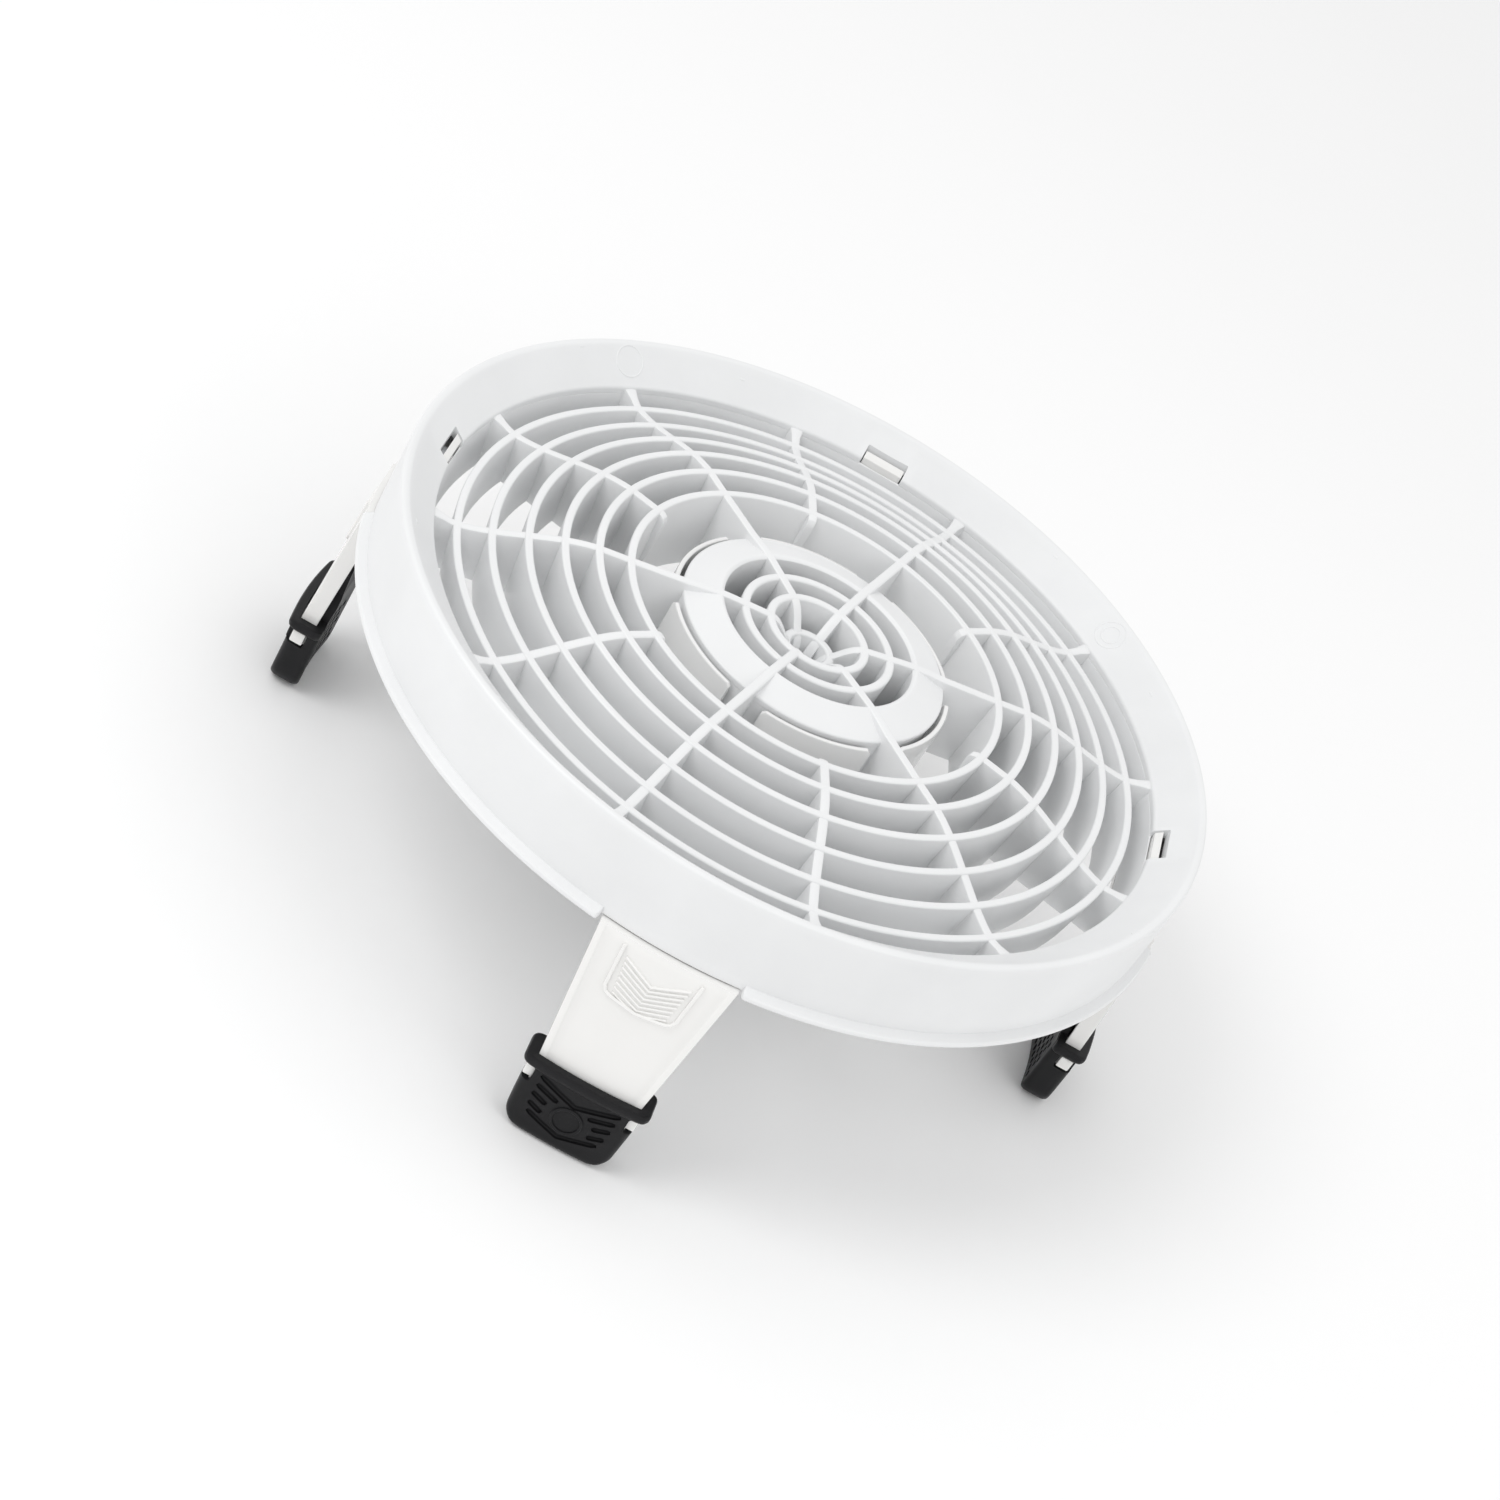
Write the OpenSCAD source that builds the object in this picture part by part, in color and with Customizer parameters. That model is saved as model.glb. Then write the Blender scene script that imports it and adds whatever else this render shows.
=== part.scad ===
// Round ceiling air diffuser: a dished rim around a domed louvre grille, standing on four
// sprung legs with rubber boots. The face looks up (+Z) and the boots stand on z = 0.

/* [Rim] */
// Outer radius of the rim
rim_r = 130; // [110:1:150]
// Height of the face's edge above the soles
face_z = 102.5; // [86:0.5:125]
// Height of the rim's skirt
skirt_h = 29; // [25:0.5:36]
// Wall of the rim
rim_wall = 2.4; // [2:0.1:3]
// Radial width of the dished flange
flange_w = 13.2; // [12.5:0.1:16]
// Drop of the flange from its outer to its inner edge
flange_drop = 9; // [5:0.5:10]
// How far the back lip stands proud of the skirt
lip_proud = 2.8; // [1.5:0.1:4]
// Height of the back lip
lip_h = 4; // [3:0.5:6]

/* [Louvres] */
// Distance from the flange's inner edge to the outermost louvre
louvre_gap = 7.6; // [6:0.1:9]
// Radial pitch of the louvres
louvre_pitch = 9.9; // [8.5:0.1:10.5]
// Thickness of a louvre blade
blade_t = 2.2; // [1.6:0.1:3]
// How far each blade leans in from top to bottom
blade_lean = 2.2; // [0:0.1:4]
// How far the blades' back edges stay inside the skirt
louvre_inset = 2.5; // [1.5:0.1:4]
// Thickness of a spoke
spoke_t = 2.4; // [1.8:0.1:3.2]
// Radius of the crown's flat middle
crown_r = 68; // [50:0.5:75]
// Depth of the crown's flat middle below the face's edge
crown_top = 1; // [0.5:0.1:3]
// Thickness of the collar around the louvres
collar_t = 2.2; // [1.8:0.1:2.6]
// How far the collar leans in from top to bottom
collar_lean = 2.2; // [0:0.1:3]

/* [Hub] */
// Outer radius of the conical hub plate
hub_r = 42.4; // [38:0.1:44]
// Inner radius of the hub plate
hub_bore_r = 30.6; // [28:0.1:33]
// Depth of the hub plate's outer edge
hub_drop = 3.6; // [2:0.1:5]
// Pitch of the two rings inside the hub
hub_pitch = 8.2; // [7:0.1:9]
// Radius of the screw core
core_r = 4.4; // [4:0.1:5.5]
// Wall of the hub cup
cup_t = 1.6; // [1.2:0.1:2.4]
// Gap between the hub plate's edge and the cup's arcs
cup_gap = 1; // [0.6:0.1:2]
// Least distance from the hub plate to the innermost louvre
hub_clear = 15; // [12:0.5:18]

/* [Legs] */
// Width of a leg at its top
leg_w = 41; // [36:0.5:46]
// Width of a leg at its boot's collar
leg_tip_w = 31.6; // [28:0.5:34]
// Thickness of a leg's blade
leg_t = 2.4; // [2:0.1:3.2]
// Depth of a leg's side rails
rail_d = 5.2; // [4:0.1:6]
// Width of a side rail
rail_w = 1.8; // [1.4:0.1:2.4]
// Outward lean of a leg, in degrees
leg_lean = 3.4; // [1:0.1:5]
// Gap between a leg's top edge and the skirt
leg_gap = 0.45; // [0.3:0.05:0.8]
// Radius of a hinge pin
pin_r = 1.5; // [1.2:0.1:2]
// Running clearance of a leg on its pin
pin_clear = 0.06; // [0.03:0.01:0.1]
// How much narrower than the leg its root is on each side
root_inset = 2.5; // [2:0.1:5]
// Width of the snap tab that shows in the flange
tab_w = 14; // [10:0.1:16]
// Thickness of a leaf spring
leaf_t = 0.5; // [0.4:0.1:0.8]

/* [Boots] */
// Height of a boot from its sole to its collar
boot_h = 26.5; // [22:0.5:30]
// Thickness of a boot's side walls
boot_wall = 2.7; // [2:0.1:4]
// Thickness of a boot's outer wall
boot_skin = 1.5; // [1:0.1:2.5]
// Thickness of a boot's inner wall
boot_back = 2.6; // [2:0.1:4]
// How far the collar and the tongue's root stand proud
collar_proud = 1.4; // [0.8:0.1:2]
// Height of the boot's inner tongue above its collar
tongue_h = 20; // [12:0.5:24]
// Radius of the sole's corners
sole_corner = 6; // [3:0.5:9]

/* [Hidden] */
LEGS = ["front", "right", "back", "left"];

white = [0.93, 0.93, 0.94];
warm = [0.94, 0.93, 0.91];
black = [0.09, 0.09, 0.1];
steel = [0.7, 0.71, 0.73];

eps = 0.01;
fit = 0.1;                          // clearance between pieces that are pushed together
round_fn = 180;                     // facets of the large rings in a preview
spoke_count = 12;                   // every second spoke reaches the hub
first_spoke = 15;                   // angle of the first spoke that reaches the hub
spoke_step = 360 / spoke_count;

flange_r = rim_r - flange_w;        // inner edge of the flange
skirt_in_r = rim_r - rim_wall;      // inner face of the skirt
edge_round = 2.4;                   // width of the rounding along the flange's outer edge
skirt_z = face_z - skirt_h;         // back edge of the skirt
grille_z = skirt_z + louvre_inset;  // back edge of the blades
notch_h = 1;                        // how much shorter the skirt is over a leg
notch_hw = leg_w / 2 + 0.7;

// Height of the flange's top face at radius r
function flange_top(r) = face_z - flange_drop * (rim_r - edge_round - r) / (flange_w - edge_round);

// Height of the flange's underside at radius r
corner_fill = 0.6;                  // extra depth where the flange meets the skirt
function flange_under(r) = flange_top(r) - rim_wall
    - corner_fill * (r - flange_r) / (skirt_in_r - flange_r);

// Louvre rings, counted in from the flange
louvre_r = flange_r - louvre_gap;
louvre_count = floor((louvre_r - hub_r - hub_clear) / louvre_pitch) + 1;
inner_r = louvre_r - (louvre_count - 1) * louvre_pitch;

// Height of the louvre crown at radius r: flat in the middle, an ogee down to the flange
crown_end = louvre_r + 3.8;
crown_fall = flange_drop - crown_top + 1.9;
function crown_share(r) = min(1, max(0, (r - crown_r) / (crown_end - crown_r)));
function crown(r) = face_z - crown_top - crown_fall * pow(crown_share(r), 2) * (3 - 2 * crown_share(r));

// ---------------------------------------------------------------- helpers

// A prism of a (y, z) outline from x0 to x1
module yz_prism(outline, x0, x1) {
    translate([x0, 0, 0]) rotate([90, 0, 90]) linear_extrude(height = x1 - x0) polygon(outline);
}

// A prism of an (x, z) outline, centred on y = 0
module xz_prism(outline, width) {
    translate([0, width / 2, 0]) rotate([90, 0, 0]) linear_extrude(height = width) polygon(outline);
}

// Turns a (r, z) outline around the axis
module turned(outline) {
    rotate_extrude($fn = round_fn) polygon(outline);
}

// Places a child at the station of leg i; leg 0 is the front one, on -Y
module at_leg(i) {
    rotate([0, 0, -90 + 90 * i]) children();
}

// ---------------------------------------------------------------- rim

root_hw = leg_w / 2 - root_inset;                   // half width of a leg's root
boss_r = pin_r + 1.5;                               // boss around a leg's pin bore
boss_hw = root_hw + 2;
boss_clear = 1.4;                                   // gap between a boss's ends and the skirt
pin_x = sqrt(pow(skirt_in_r - boss_clear, 2) - pow(boss_hw, 2)) - boss_r;
pin_drop = 8;                                       // from the flange's inner edge down to the hinge pins
pin_z = face_z - flange_drop - pin_drop;
lug_t = 3;
lug_y = boss_hw + 0.4;                              // inner face of a hinge lug
slot_out = 4;                                       // slot's reach into the flange
slot_hw = tab_w / 2 + 0.5;

module rim_shell() {
    turned([
        [rim_r, skirt_z],
        [rim_r, face_z - edge_round],
        [rim_r - 0.3 * edge_round, face_z - 0.3 * edge_round],
        [rim_r - edge_round, face_z],
        [flange_r, flange_top(flange_r)],
        [flange_r, flange_under(flange_r)],
        [skirt_in_r, flange_under(skirt_in_r)],
        [skirt_in_r, skirt_z],
    ]);
}

module rim_lip() {
    difference() {
        turned([
            [rim_r - eps, skirt_z],
            [rim_r + lip_proud, skirt_z],
            [rim_r + lip_proud, skirt_z + 0.55 * lip_h],
            [rim_r - eps, skirt_z + lip_h],
        ]);
        for (i = [0 : 3]) at_leg(i) over_leg(lip_h + 2);
    }
}

// Block over a leg's top, as wide as the leg and its clearance
module over_leg(height) {
    translate([rim_r - 12, -notch_hw, skirt_z - 1]) cube([30, 2 * notch_hw, height]);
}

// A pair of lugs inside the channel that hold a hinge pin
module hinge_lugs() {
    lug_in = flange_r + collar_t + 0.4;
    intersection() {
        turned([
            [lug_in, skirt_z + 2],
            [skirt_in_r + 1, skirt_z + 2],
            [skirt_in_r + 1, flange_under(skirt_in_r) + 0.5],
            [lug_in, flange_under(lug_in) + 0.5],
        ]);
        for (side = [-1, 1])
            translate([flange_r - 12, side > 0 ? lug_y : -lug_y - lug_t, skirt_z])
                cube([rim_r - flange_r + 12, lug_t, skirt_h]);
    }
}

module rim() {
    color(white) difference() {
        union() {
            rim_shell();
            rim_lip();
            for (i = [0 : 3]) at_leg(i) hinge_lugs();
        }
        for (i = [0 : 3]) at_leg(i) {
            over_leg(notch_h + 1);
            // slot for the leg's tab
            translate([flange_r - 4, -slot_hw, face_z - flange_drop - 8])
                cube([4 + slot_out, 2 * slot_hw, 20]);
            // seat of the hinge pin
            translate([pin_x, 0, pin_z]) rotate([90, 0, 0])
                cylinder(r = pin_r, h = 2 * (lug_y + lug_t) + 2, center = true, $fn = 48);
        }
    }
}

// ---------------------------------------------------------------- louvre grille

module blade_ring(r, top) {
    t = blade_t / 2;
    lean = blade_lean * (top - grille_z) / (face_z - grille_z);
    turned([
        [r - t - lean, grille_z],
        [r + t - lean, grille_z],
        [r + t, top - 0.5 * t],
        [r + 0.45 * t, top],
        [r - 0.45 * t, top],
        [r - t, top - 0.5 * t],
    ]);
}

window_hw = root_hw + 0.5;
collar_h = flange_under(flange_r) - grille_z;

// Inner face of the collar at height z
function collar_r(z) = flange_r - collar_lean * (grille_z + collar_h - z) / collar_h;

module louvre_collar() {
    difference() {
        turned([
            [collar_r(grille_z), grille_z],
            [collar_r(grille_z) + collar_t, grille_z],
            [flange_r + collar_t, flange_under(flange_r + collar_t)],
            [flange_r, flange_under(flange_r)],
        ]);
        // windows for the legs' roots
        for (i = [0 : 3]) at_leg(i)
            translate([flange_r - 8, -window_hw, grille_z - 1]) cube([14, 2 * window_hw, skirt_h]);
    }
}

spoke_under = 0.15;                                 // spoke tops stay this far below the crown
spoke_steps = 8;
spoke_end = 0.5 * collar_t;                         // how far a spoke runs into the collar
short_in = inner_r - 4;                             // inner end of a short spoke
dive_r = 14;                                        // where the long spokes dive to the core
core_h = 12;

spoke_dip = 0.5;                                    // a spoke's end passes this far under the flange

// Height of a spoke's top: along the crown, then under the flange's inner edge
function spoke_top(r) = r < crown_end ? crown(r) - spoke_under
    : min(crown(r) - spoke_under, flange_under(flange_r) - spoke_dip);

// Side outline of a spoke: its inner end, its top along the crown and its end in the collar
function spoke_outline(inner_end, r0) = concat(
    inner_end,
    [for (i = [0 : spoke_steps]) let (r = r0 + (flange_r + spoke_end - r0) * i / spoke_steps)
        [r, spoke_top(r)]],
    [[collar_r(grille_z) + spoke_end, grille_z], [inner_end[0][0] + 0.01, grille_z]]);

module short_spoke() {
    xz_prism(spoke_outline([[short_in + 1.5, grille_z + 2], [short_in, crown(inner_r) - 3]], short_in + 1.5),
             spoke_t);
}

module long_spoke() {
    xz_prism(spoke_outline([
        [core_r - 1.5, face_z - 15],
        [dive_r - 6, face_z - 8],
        [dive_r - 2, face_z - 2.4],
        [dive_r + 1, face_z - crown_top - spoke_under],
    ], crown_r), spoke_t);
}

module hub_plate() {
    turned([
        [hub_bore_r, grille_z],
        [hub_bore_r + blade_t, grille_z],
        [hub_bore_r + blade_t, face_z - 2.8],
        [hub_r, face_z - hub_drop - 2],
        [hub_r, face_z - hub_drop],
        [hub_bore_r + 0.9, face_z - 0.3],
        [hub_bore_r, face_z - 0.9],
    ]);
}

screw_r = 1.6;
module louvre_grille() {
    color(white) difference() {
        union() {
            louvre_collar();
            for (k = [0 : louvre_count - 1])
                blade_ring(louvre_r - k * louvre_pitch, crown(louvre_r - k * louvre_pitch));
            for (k = [0 : spoke_count - 1])
                rotate([0, 0, first_spoke + k * spoke_step])
                    if (k % 2 == 0) long_spoke(); else short_spoke();
            hub_plate();
            blade_ring(hub_bore_r + 0.5 * blade_t - hub_pitch, face_z - crown_top);
            blade_ring(hub_bore_r + 0.5 * blade_t - 2 * hub_pitch, face_z - crown_top - 0.2);
            rotate([0, 0, first_spoke]) translate([0, 0, grille_z + 0.4])
                cylinder(r = core_r, h = core_h, $fn = 64);
        }
        translate([0, 0, grille_z - 1]) cylinder(r = screw_r, h = 10, $fn = 32);
    }
}

// ---------------------------------------------------------------- hub cup

cup_r = hub_r + cup_gap;                            // inner face of the cup's arcs
cup_floor = 1.8;
cup_top = face_z - hub_drop - 1.1;
cup_notch_hw = spoke_t / 2 + 4.4;

module hub_cup() {
    floor_z = grille_z - fit - cup_floor;
    color(warm) difference() {
        union() {
            translate([0, 0, floor_z]) cylinder(r = cup_r + cup_t, h = cup_floor, $fn = round_fn);
            difference() {
                turned([
                    [cup_r, floor_z],
                    [cup_r + cup_t, floor_z],
                    [cup_r + cup_t, cup_top - 0.5],
                    [cup_r + cup_t - 0.5, cup_top],
                    [cup_r, cup_top],
                ]);
                for (k = [0 : 2 : spoke_count - 1]) rotate([0, 0, first_spoke + k * spoke_step])
                    translate([cup_r - 4, -cup_notch_hw, floor_z + cup_floor])
                        cube([10, 2 * cup_notch_hw, 40]);
            }
        }
        translate([0, 0, floor_z - 1]) cylinder(r = screw_r + 0.3, h = 5, $fn = 32);
    }
}

module hub_screw() {
    floor_z = grille_z - fit - cup_floor;
    color(steel) {
        translate([0, 0, floor_z - fit - 1.8]) difference() {
            cylinder(r = 3.4, h = 1.8, $fn = 48);
            translate([0, 0, -1]) cylinder(r = 1.3, h = 2, $fn = 6);
        }
        translate([0, 0, floor_z - fit - eps]) cylinder(r = screw_r - 0.05, h = 9, $fn = 32);
    }
}

// ---------------------------------------------------------------- legs

leg_top = skirt_z + notch_h - leg_gap;              // top edge of the blade, under the skirt
leg_out = rim_r + 2.3;                              // outer face of the blade at its top
collar_z = boot_h;                                  // top of the boot's collar
tip_z = 5;                                          // end of the leg inside its boot
function blade_r(z) = leg_out + (leg_top - z) * tan(leg_lean);
boot_out = blade_r(collar_z) + boot_skin;           // outer face of the boot's body
tip_out = blade_r(collar_z) - 0.3;

// Outline of the leg's width, grown by g
function leg_width(z) = leg_tip_w + (leg_w - leg_tip_w) * (z - collar_z) / (leg_top - collar_z);
function leg_outline(g) = [
    [-leg_width(tip_z) / 2 - g, tip_z - g],
    [leg_width(tip_z) / 2 + g, tip_z - g],
    [leg_width(leg_top) / 2 + g, leg_top],
    [-leg_width(leg_top) / 2 - g, leg_top],
];

// Shell of the leg between two radial offsets from its outer face
module leg_shell(out, depth, top) {
    turned([
        [tip_out + out, tip_z],
        [blade_r(collar_z) + out, collar_z],
        [leg_out + out, top],
        [leg_out + out - depth, top],
        [blade_r(collar_z) + out - depth, collar_z],
        [tip_out + out - depth, tip_z],
    ]);
}

web_t = 2.5;
ear_z = boot_h - 6.2;                               // middle of the ears in the boot's windows
ear_h = 3.4;

root_t = 2.4;                                       // thickness of a root's wall
root_h = 3.5;                                       // top of a root's wall above its pin
tab_t = 2;                                          // thickness of the tab above that wall
root_gap = 0.3;                                     // gap behind the collar's inner face
web_z = skirt_z - leg_gap;                          // top of the web under the channel
tab_x = flange_r + root_gap;

// Space that a leg's root may fill: the channel, its window and the way out under the skirt
module root_space() {
    turned([
        [collar_r(web_z - web_t) + root_gap, web_z - web_t],
        [leg_out - 1, web_z - web_t],
        [leg_out - 1, web_z],
        [skirt_in_r - 1, web_z],
        [skirt_in_r - 1, face_z],
        [tab_x, face_z],
        [tab_x, flange_under(flange_r)],
    ]);
}

// A block across the root, given by its (x, z) outline and its half width
module root_block(outline, half_width) {
    intersection() {
        root_space();
        xz_prism(outline, 2 * half_width);
    }
}

module leg_root() {
    plate_in = flange_r - 10;
    difference() {
        union() {
            // web under the channel, from the blade to the root
            root_block([[plate_in, web_z - web_t], [leg_out, web_z - web_t], [leg_out, web_z],
                        [plate_in, web_z]], root_hw + 1);
            // plate that fills the collar's window
            root_block([[plate_in, web_z - web_t], [tab_x + 1, web_z - web_t],
                        [tab_x + root_t, pin_z + root_h], [plate_in, pin_z + root_h]], root_hw);
            // tab in the slot, its top along the flange
            root_block([[plate_in, pin_z], [tab_x + tab_t, pin_z],
                        [tab_x + tab_t, flange_top(tab_x + tab_t) - 0.7],
                        [plate_in, flange_top(tab_x) - 0.9]], tab_w / 2);
            // boss and its gusset
            translate([pin_x, 0, pin_z]) rotate([90, 0, 0])
                cylinder(r = boss_r, h = 2 * boss_hw, center = true, $fn = 48);
            root_block([[plate_in, pin_z - 3.5], [pin_x, pin_z - boss_r], [pin_x, pin_z + boss_r - 0.5],
                        [plate_in, pin_z + root_h]], root_hw);
        }
        translate([pin_x, 0, pin_z]) rotate([90, 0, 0])
            cylinder(r = pin_r + pin_clear, h = 2 * boss_hw + 2, center = true, $fn = 48);
    }
}

pad_w = 23.4;                                       // width of the thumb pad at its top
pad_h = 16.3;
pad_taper = 1.5;                                    // how much each side comes in
pad_z = leg_top - 2.2;                              // top of the thumb pad
pad_border = 1;
rib_count = 8;
rib_pitch = 1.7;
rib_h = 0.7;

// U-shaped border and chevron ribs of the thumb pad, proud of the blade
module thumb_pad() {
    hw = pad_w / 2;
    foot = hw - pad_taper;
    low = pad_z - pad_h;
    rib_hw = foot - pad_border - 1;
    intersection() {
        union() {
            yz_prism([[-hw, pad_z], [-foot, low], [0, low - 1.6], [foot, low], [hw, pad_z],
                      [hw - pad_border, pad_z], [foot - pad_border, low + pad_border],
                      [0, low - 1.6 + pad_border], [pad_border - foot, low + pad_border],
                      [pad_border - hw, pad_z]], rim_r - 3, rim_r + 20);
            for (k = [0 : rib_count - 1]) {
                drop = 4.6 - 3.1 * k / (rib_count - 1);
                translate([0, 0, pad_z - 3 - rib_pitch * k])
                    yz_prism([[-rib_hw, 0], [0, -drop], [rib_hw, 0], [rib_hw, -rib_h],
                              [0, -drop - rib_h], [-rib_hw, -rib_h]], rim_r - 3, rim_r + 20);
            }
        }
        leg_shell(0.5, 1.5, leg_top);
    }
}

module leg() {
    color(warm) union() {
        // blade between the rails
        intersection() {
            leg_shell(-0.3, leg_t, leg_top);
            yz_prism(leg_outline(0), rim_r - 20, rim_r + 20);
        }
        // rails along both edges
        intersection() {
            leg_shell(0, rail_d, leg_top);
            difference() {
                yz_prism(leg_outline(0), rim_r - 20, rim_r + 20);
                yz_prism([
                    [-leg_width(tip_z) / 2 + rail_w, tip_z - 1],
                    [leg_width(tip_z) / 2 - rail_w, tip_z - 1],
                    [leg_width(leg_top) / 2 - rail_w, leg_top + 1],
                    [-leg_width(leg_top) / 2 + rail_w, leg_top + 1],
                ], rim_r - 21, rim_r + 21);
            }
        }
        // ears that hold the boot
        for (side = [-1, 1])
            translate([tip_out - rail_d + 0.6, side > 0 ? leg_width(ear_z) / 2 - 1 :
                       -leg_width(ear_z) / 2 - 1.6, ear_z - ear_h / 2])
                cube([rail_d - 1.2, 2.6, ear_h]);
        leg_root();
        thumb_pad();
    }
}

// ---------------------------------------------------------------- boots

boot_in = blade_r(collar_z) - rail_d - fit - boot_back;
boot_hw = leg_width(collar_z) / 2 + boot_wall;
sole_hw = leg_width(0) / 2 + boot_wall;

// Outline of a boot in its width, with rounded soles
function boot_outline() = concat(
    [[boot_hw, collar_z], [-boot_hw, collar_z]],
    [for (a = [0 : 15 : 90])
        [-sole_hw + sole_corner - sole_corner * cos(a), sole_corner - sole_corner * sin(a)]],
    [for (a = [90 : -15 : 0])
        [sole_hw - sole_corner + sole_corner * cos(a), sole_corner - sole_corner * sin(a)]]);

module boot_body() {
    intersection() {
        turned([
            [boot_in + 2.6, 0],
            [boot_out - 2.6, 0],
            [boot_out - 0.8, 1.2],
            [boot_out, 3.4],
            [boot_out, collar_z - 3.4],
            [boot_out + collar_proud, collar_z - 2.6],
            [boot_out + collar_proud, collar_z - 0.6],
            [boot_out + collar_proud - 0.7, collar_z],
            [boot_in, collar_z],
            [boot_in, 3.4],
            [boot_in + 0.8, 1.2],
        ]);
        yz_prism(boot_outline(), rim_r - 20, rim_r + 20);
    }
}

module boot_tongue() {
    intersection() {
        turned([
            [boot_in, collar_z - 4],
            [blade_r(collar_z) - rail_d - fit - 0.1, collar_z - 4],
            [blade_r(collar_z + tongue_h) - rail_d - fit - 0.2, collar_z + tongue_h],
            [boot_in + 0.4, collar_z + tongue_h],
            [boot_in - 0.6, collar_z + 4],
        ]);
        yz_prism([[-12, collar_z - 4], [12, collar_z - 4], [13, collar_z + 2],
                  [5.5, collar_z + tongue_h - 1.5], [3.5, collar_z + tongue_h],
                  [-3.5, collar_z + tongue_h], [-5.5, collar_z + tongue_h - 1.5],
                  [-13, collar_z + 2]], rim_r - 20, rim_r + 20);
    }
}

module boot() {
    color(black) union() {
        difference() {
            boot_body();
            // pocket for the leg's end
            intersection() {
                leg_shell(fit, rail_d + 2 * fit, leg_top);
                translate([0, 0, -fit]) yz_prism(leg_outline(fit), rim_r - 20, rim_r + 20);
            }
            // windows for the ears
            for (side = [-1, 1])
                translate([tip_out - rail_d + 0.3, side > 0 ? leg_width(ear_z) / 2 - 1.5 :
                           -leg_width(ear_z) / 2 - 8.5, ear_z - ear_h / 2 - 0.6])
                    cube([rail_d - 0.6, 10, ear_h + 1.2]);
        }
        boot_tongue();
    }
}

// ---------------------------------------------------------------- pins and springs

module pin() {
    color(steel) translate([pin_x, 0, pin_z]) rotate([90, 0, 0])
        cylinder(r = pin_r, h = 2 * (lug_y + lug_t), center = true, $fn = 48);
}

// Bent leaf between the skirt and the top of a leg's root: it presses the root inwards
leaf_hw = 3.5;                                      // half width of a leaf spring
leaf_foot = 2;                                      // height of the foot that bears on the tab
leaf_play = 0.1;                                    // from the foot to the tab with the leg at rest

module spring() {
    wall_x = sqrt(pow(skirt_in_r, 2) - pow(leaf_hw, 2));
    tip_x = tab_x + tab_t + leaf_play;
    foot_z = pin_z + root_h + leg_gap;
    top_z = foot_z + leaf_foot;
    color(steel) xz_prism([
        [wall_x, skirt_z + 3],
        [wall_x - leaf_t, skirt_z + 3],
        [wall_x - leaf_t, top_z],
        [tip_x + leaf_t, top_z - 0.6],
        [tip_x + leaf_t, foot_z],
        [tip_x, foot_z],
        [tip_x, top_z],
        [wall_x, top_z + 0.6],
    ], 2 * leaf_hw);
}

// ---------------------------------------------------------------- parts

rim();
louvre_grille();
hub_cup();
hub_screw();
for (i = [0 : 3]) {
    at_leg(i) leg();
    at_leg(i) boot();
    at_leg(i) pin();
    at_leg(i) spring();
}
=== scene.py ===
import math

import bmesh
import bpy
from bpy.props import FloatProperty, FloatVectorProperty, IntProperty, PointerProperty
from bpy.types import Operator, Panel, PropertyGroup
from mathutils import Matrix, Vector


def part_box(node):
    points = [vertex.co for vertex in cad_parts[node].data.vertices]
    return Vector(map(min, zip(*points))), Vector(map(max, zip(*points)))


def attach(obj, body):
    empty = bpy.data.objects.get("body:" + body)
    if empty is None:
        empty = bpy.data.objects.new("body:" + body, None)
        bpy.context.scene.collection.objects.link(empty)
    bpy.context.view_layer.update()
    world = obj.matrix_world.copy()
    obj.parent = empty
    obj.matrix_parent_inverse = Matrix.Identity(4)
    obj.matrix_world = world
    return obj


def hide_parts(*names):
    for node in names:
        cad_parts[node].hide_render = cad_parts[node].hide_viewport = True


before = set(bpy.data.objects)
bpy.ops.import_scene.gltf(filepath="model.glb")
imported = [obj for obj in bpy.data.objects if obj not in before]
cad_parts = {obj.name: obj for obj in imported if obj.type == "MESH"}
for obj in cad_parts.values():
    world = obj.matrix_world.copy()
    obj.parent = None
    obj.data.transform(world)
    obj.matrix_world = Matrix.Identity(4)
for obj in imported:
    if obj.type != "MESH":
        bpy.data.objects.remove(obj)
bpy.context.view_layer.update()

bl_info = {
    "name": "Ceiling air diffuser",
    "version": (1, 0, 0),
    "blender": (4, 5, 0),
    "location": "3D View > Sidebar > Diffuser",
    "description": "Builds a round ceiling air diffuser on four sprung legs",
    "category": "Object",
}

MM = 0.001
LEGS = ("front", "right", "back", "left")
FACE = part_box("rim")[1].z / MM
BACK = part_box("rim")[0].z / MM
GRILLE_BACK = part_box("louvre_grille")[0].z / MM
PIN_LOW, PIN_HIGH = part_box("pin_front")
PIN_R = -(PIN_LOW.y + PIN_HIGH.y) / 2 / MM
PIN_Z = (PIN_LOW.z + PIN_HIGH.z) / 2 / MM
PIN_END = PIN_HIGH.x / MM

SLOT_HALF = 7.35    # half the width of a slot in the flange
SLOT_REACH = 4      # a slot's reach either way from the flange's inner edge
NOTCH_PLAY = 0.7    # from a leg's edge to the end of the lip
LIP_EASE = 0.35     # degrees over which the lip's end rounds away
FLANGE_RINGS = ((45, 5.0), (45, 3.1), (135, 5.0))       # (degrees, radius)
FLANGE_RING_AT = 123.4
FLANGE_MARKS = ((60.5, 126), (115.5, 124), (143.5, 127), (203.5, 125), (235.5, 126),
                (302.5, 124.5), (333.5, 127), (32.5, 124))    # (degrees, radius)

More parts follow.
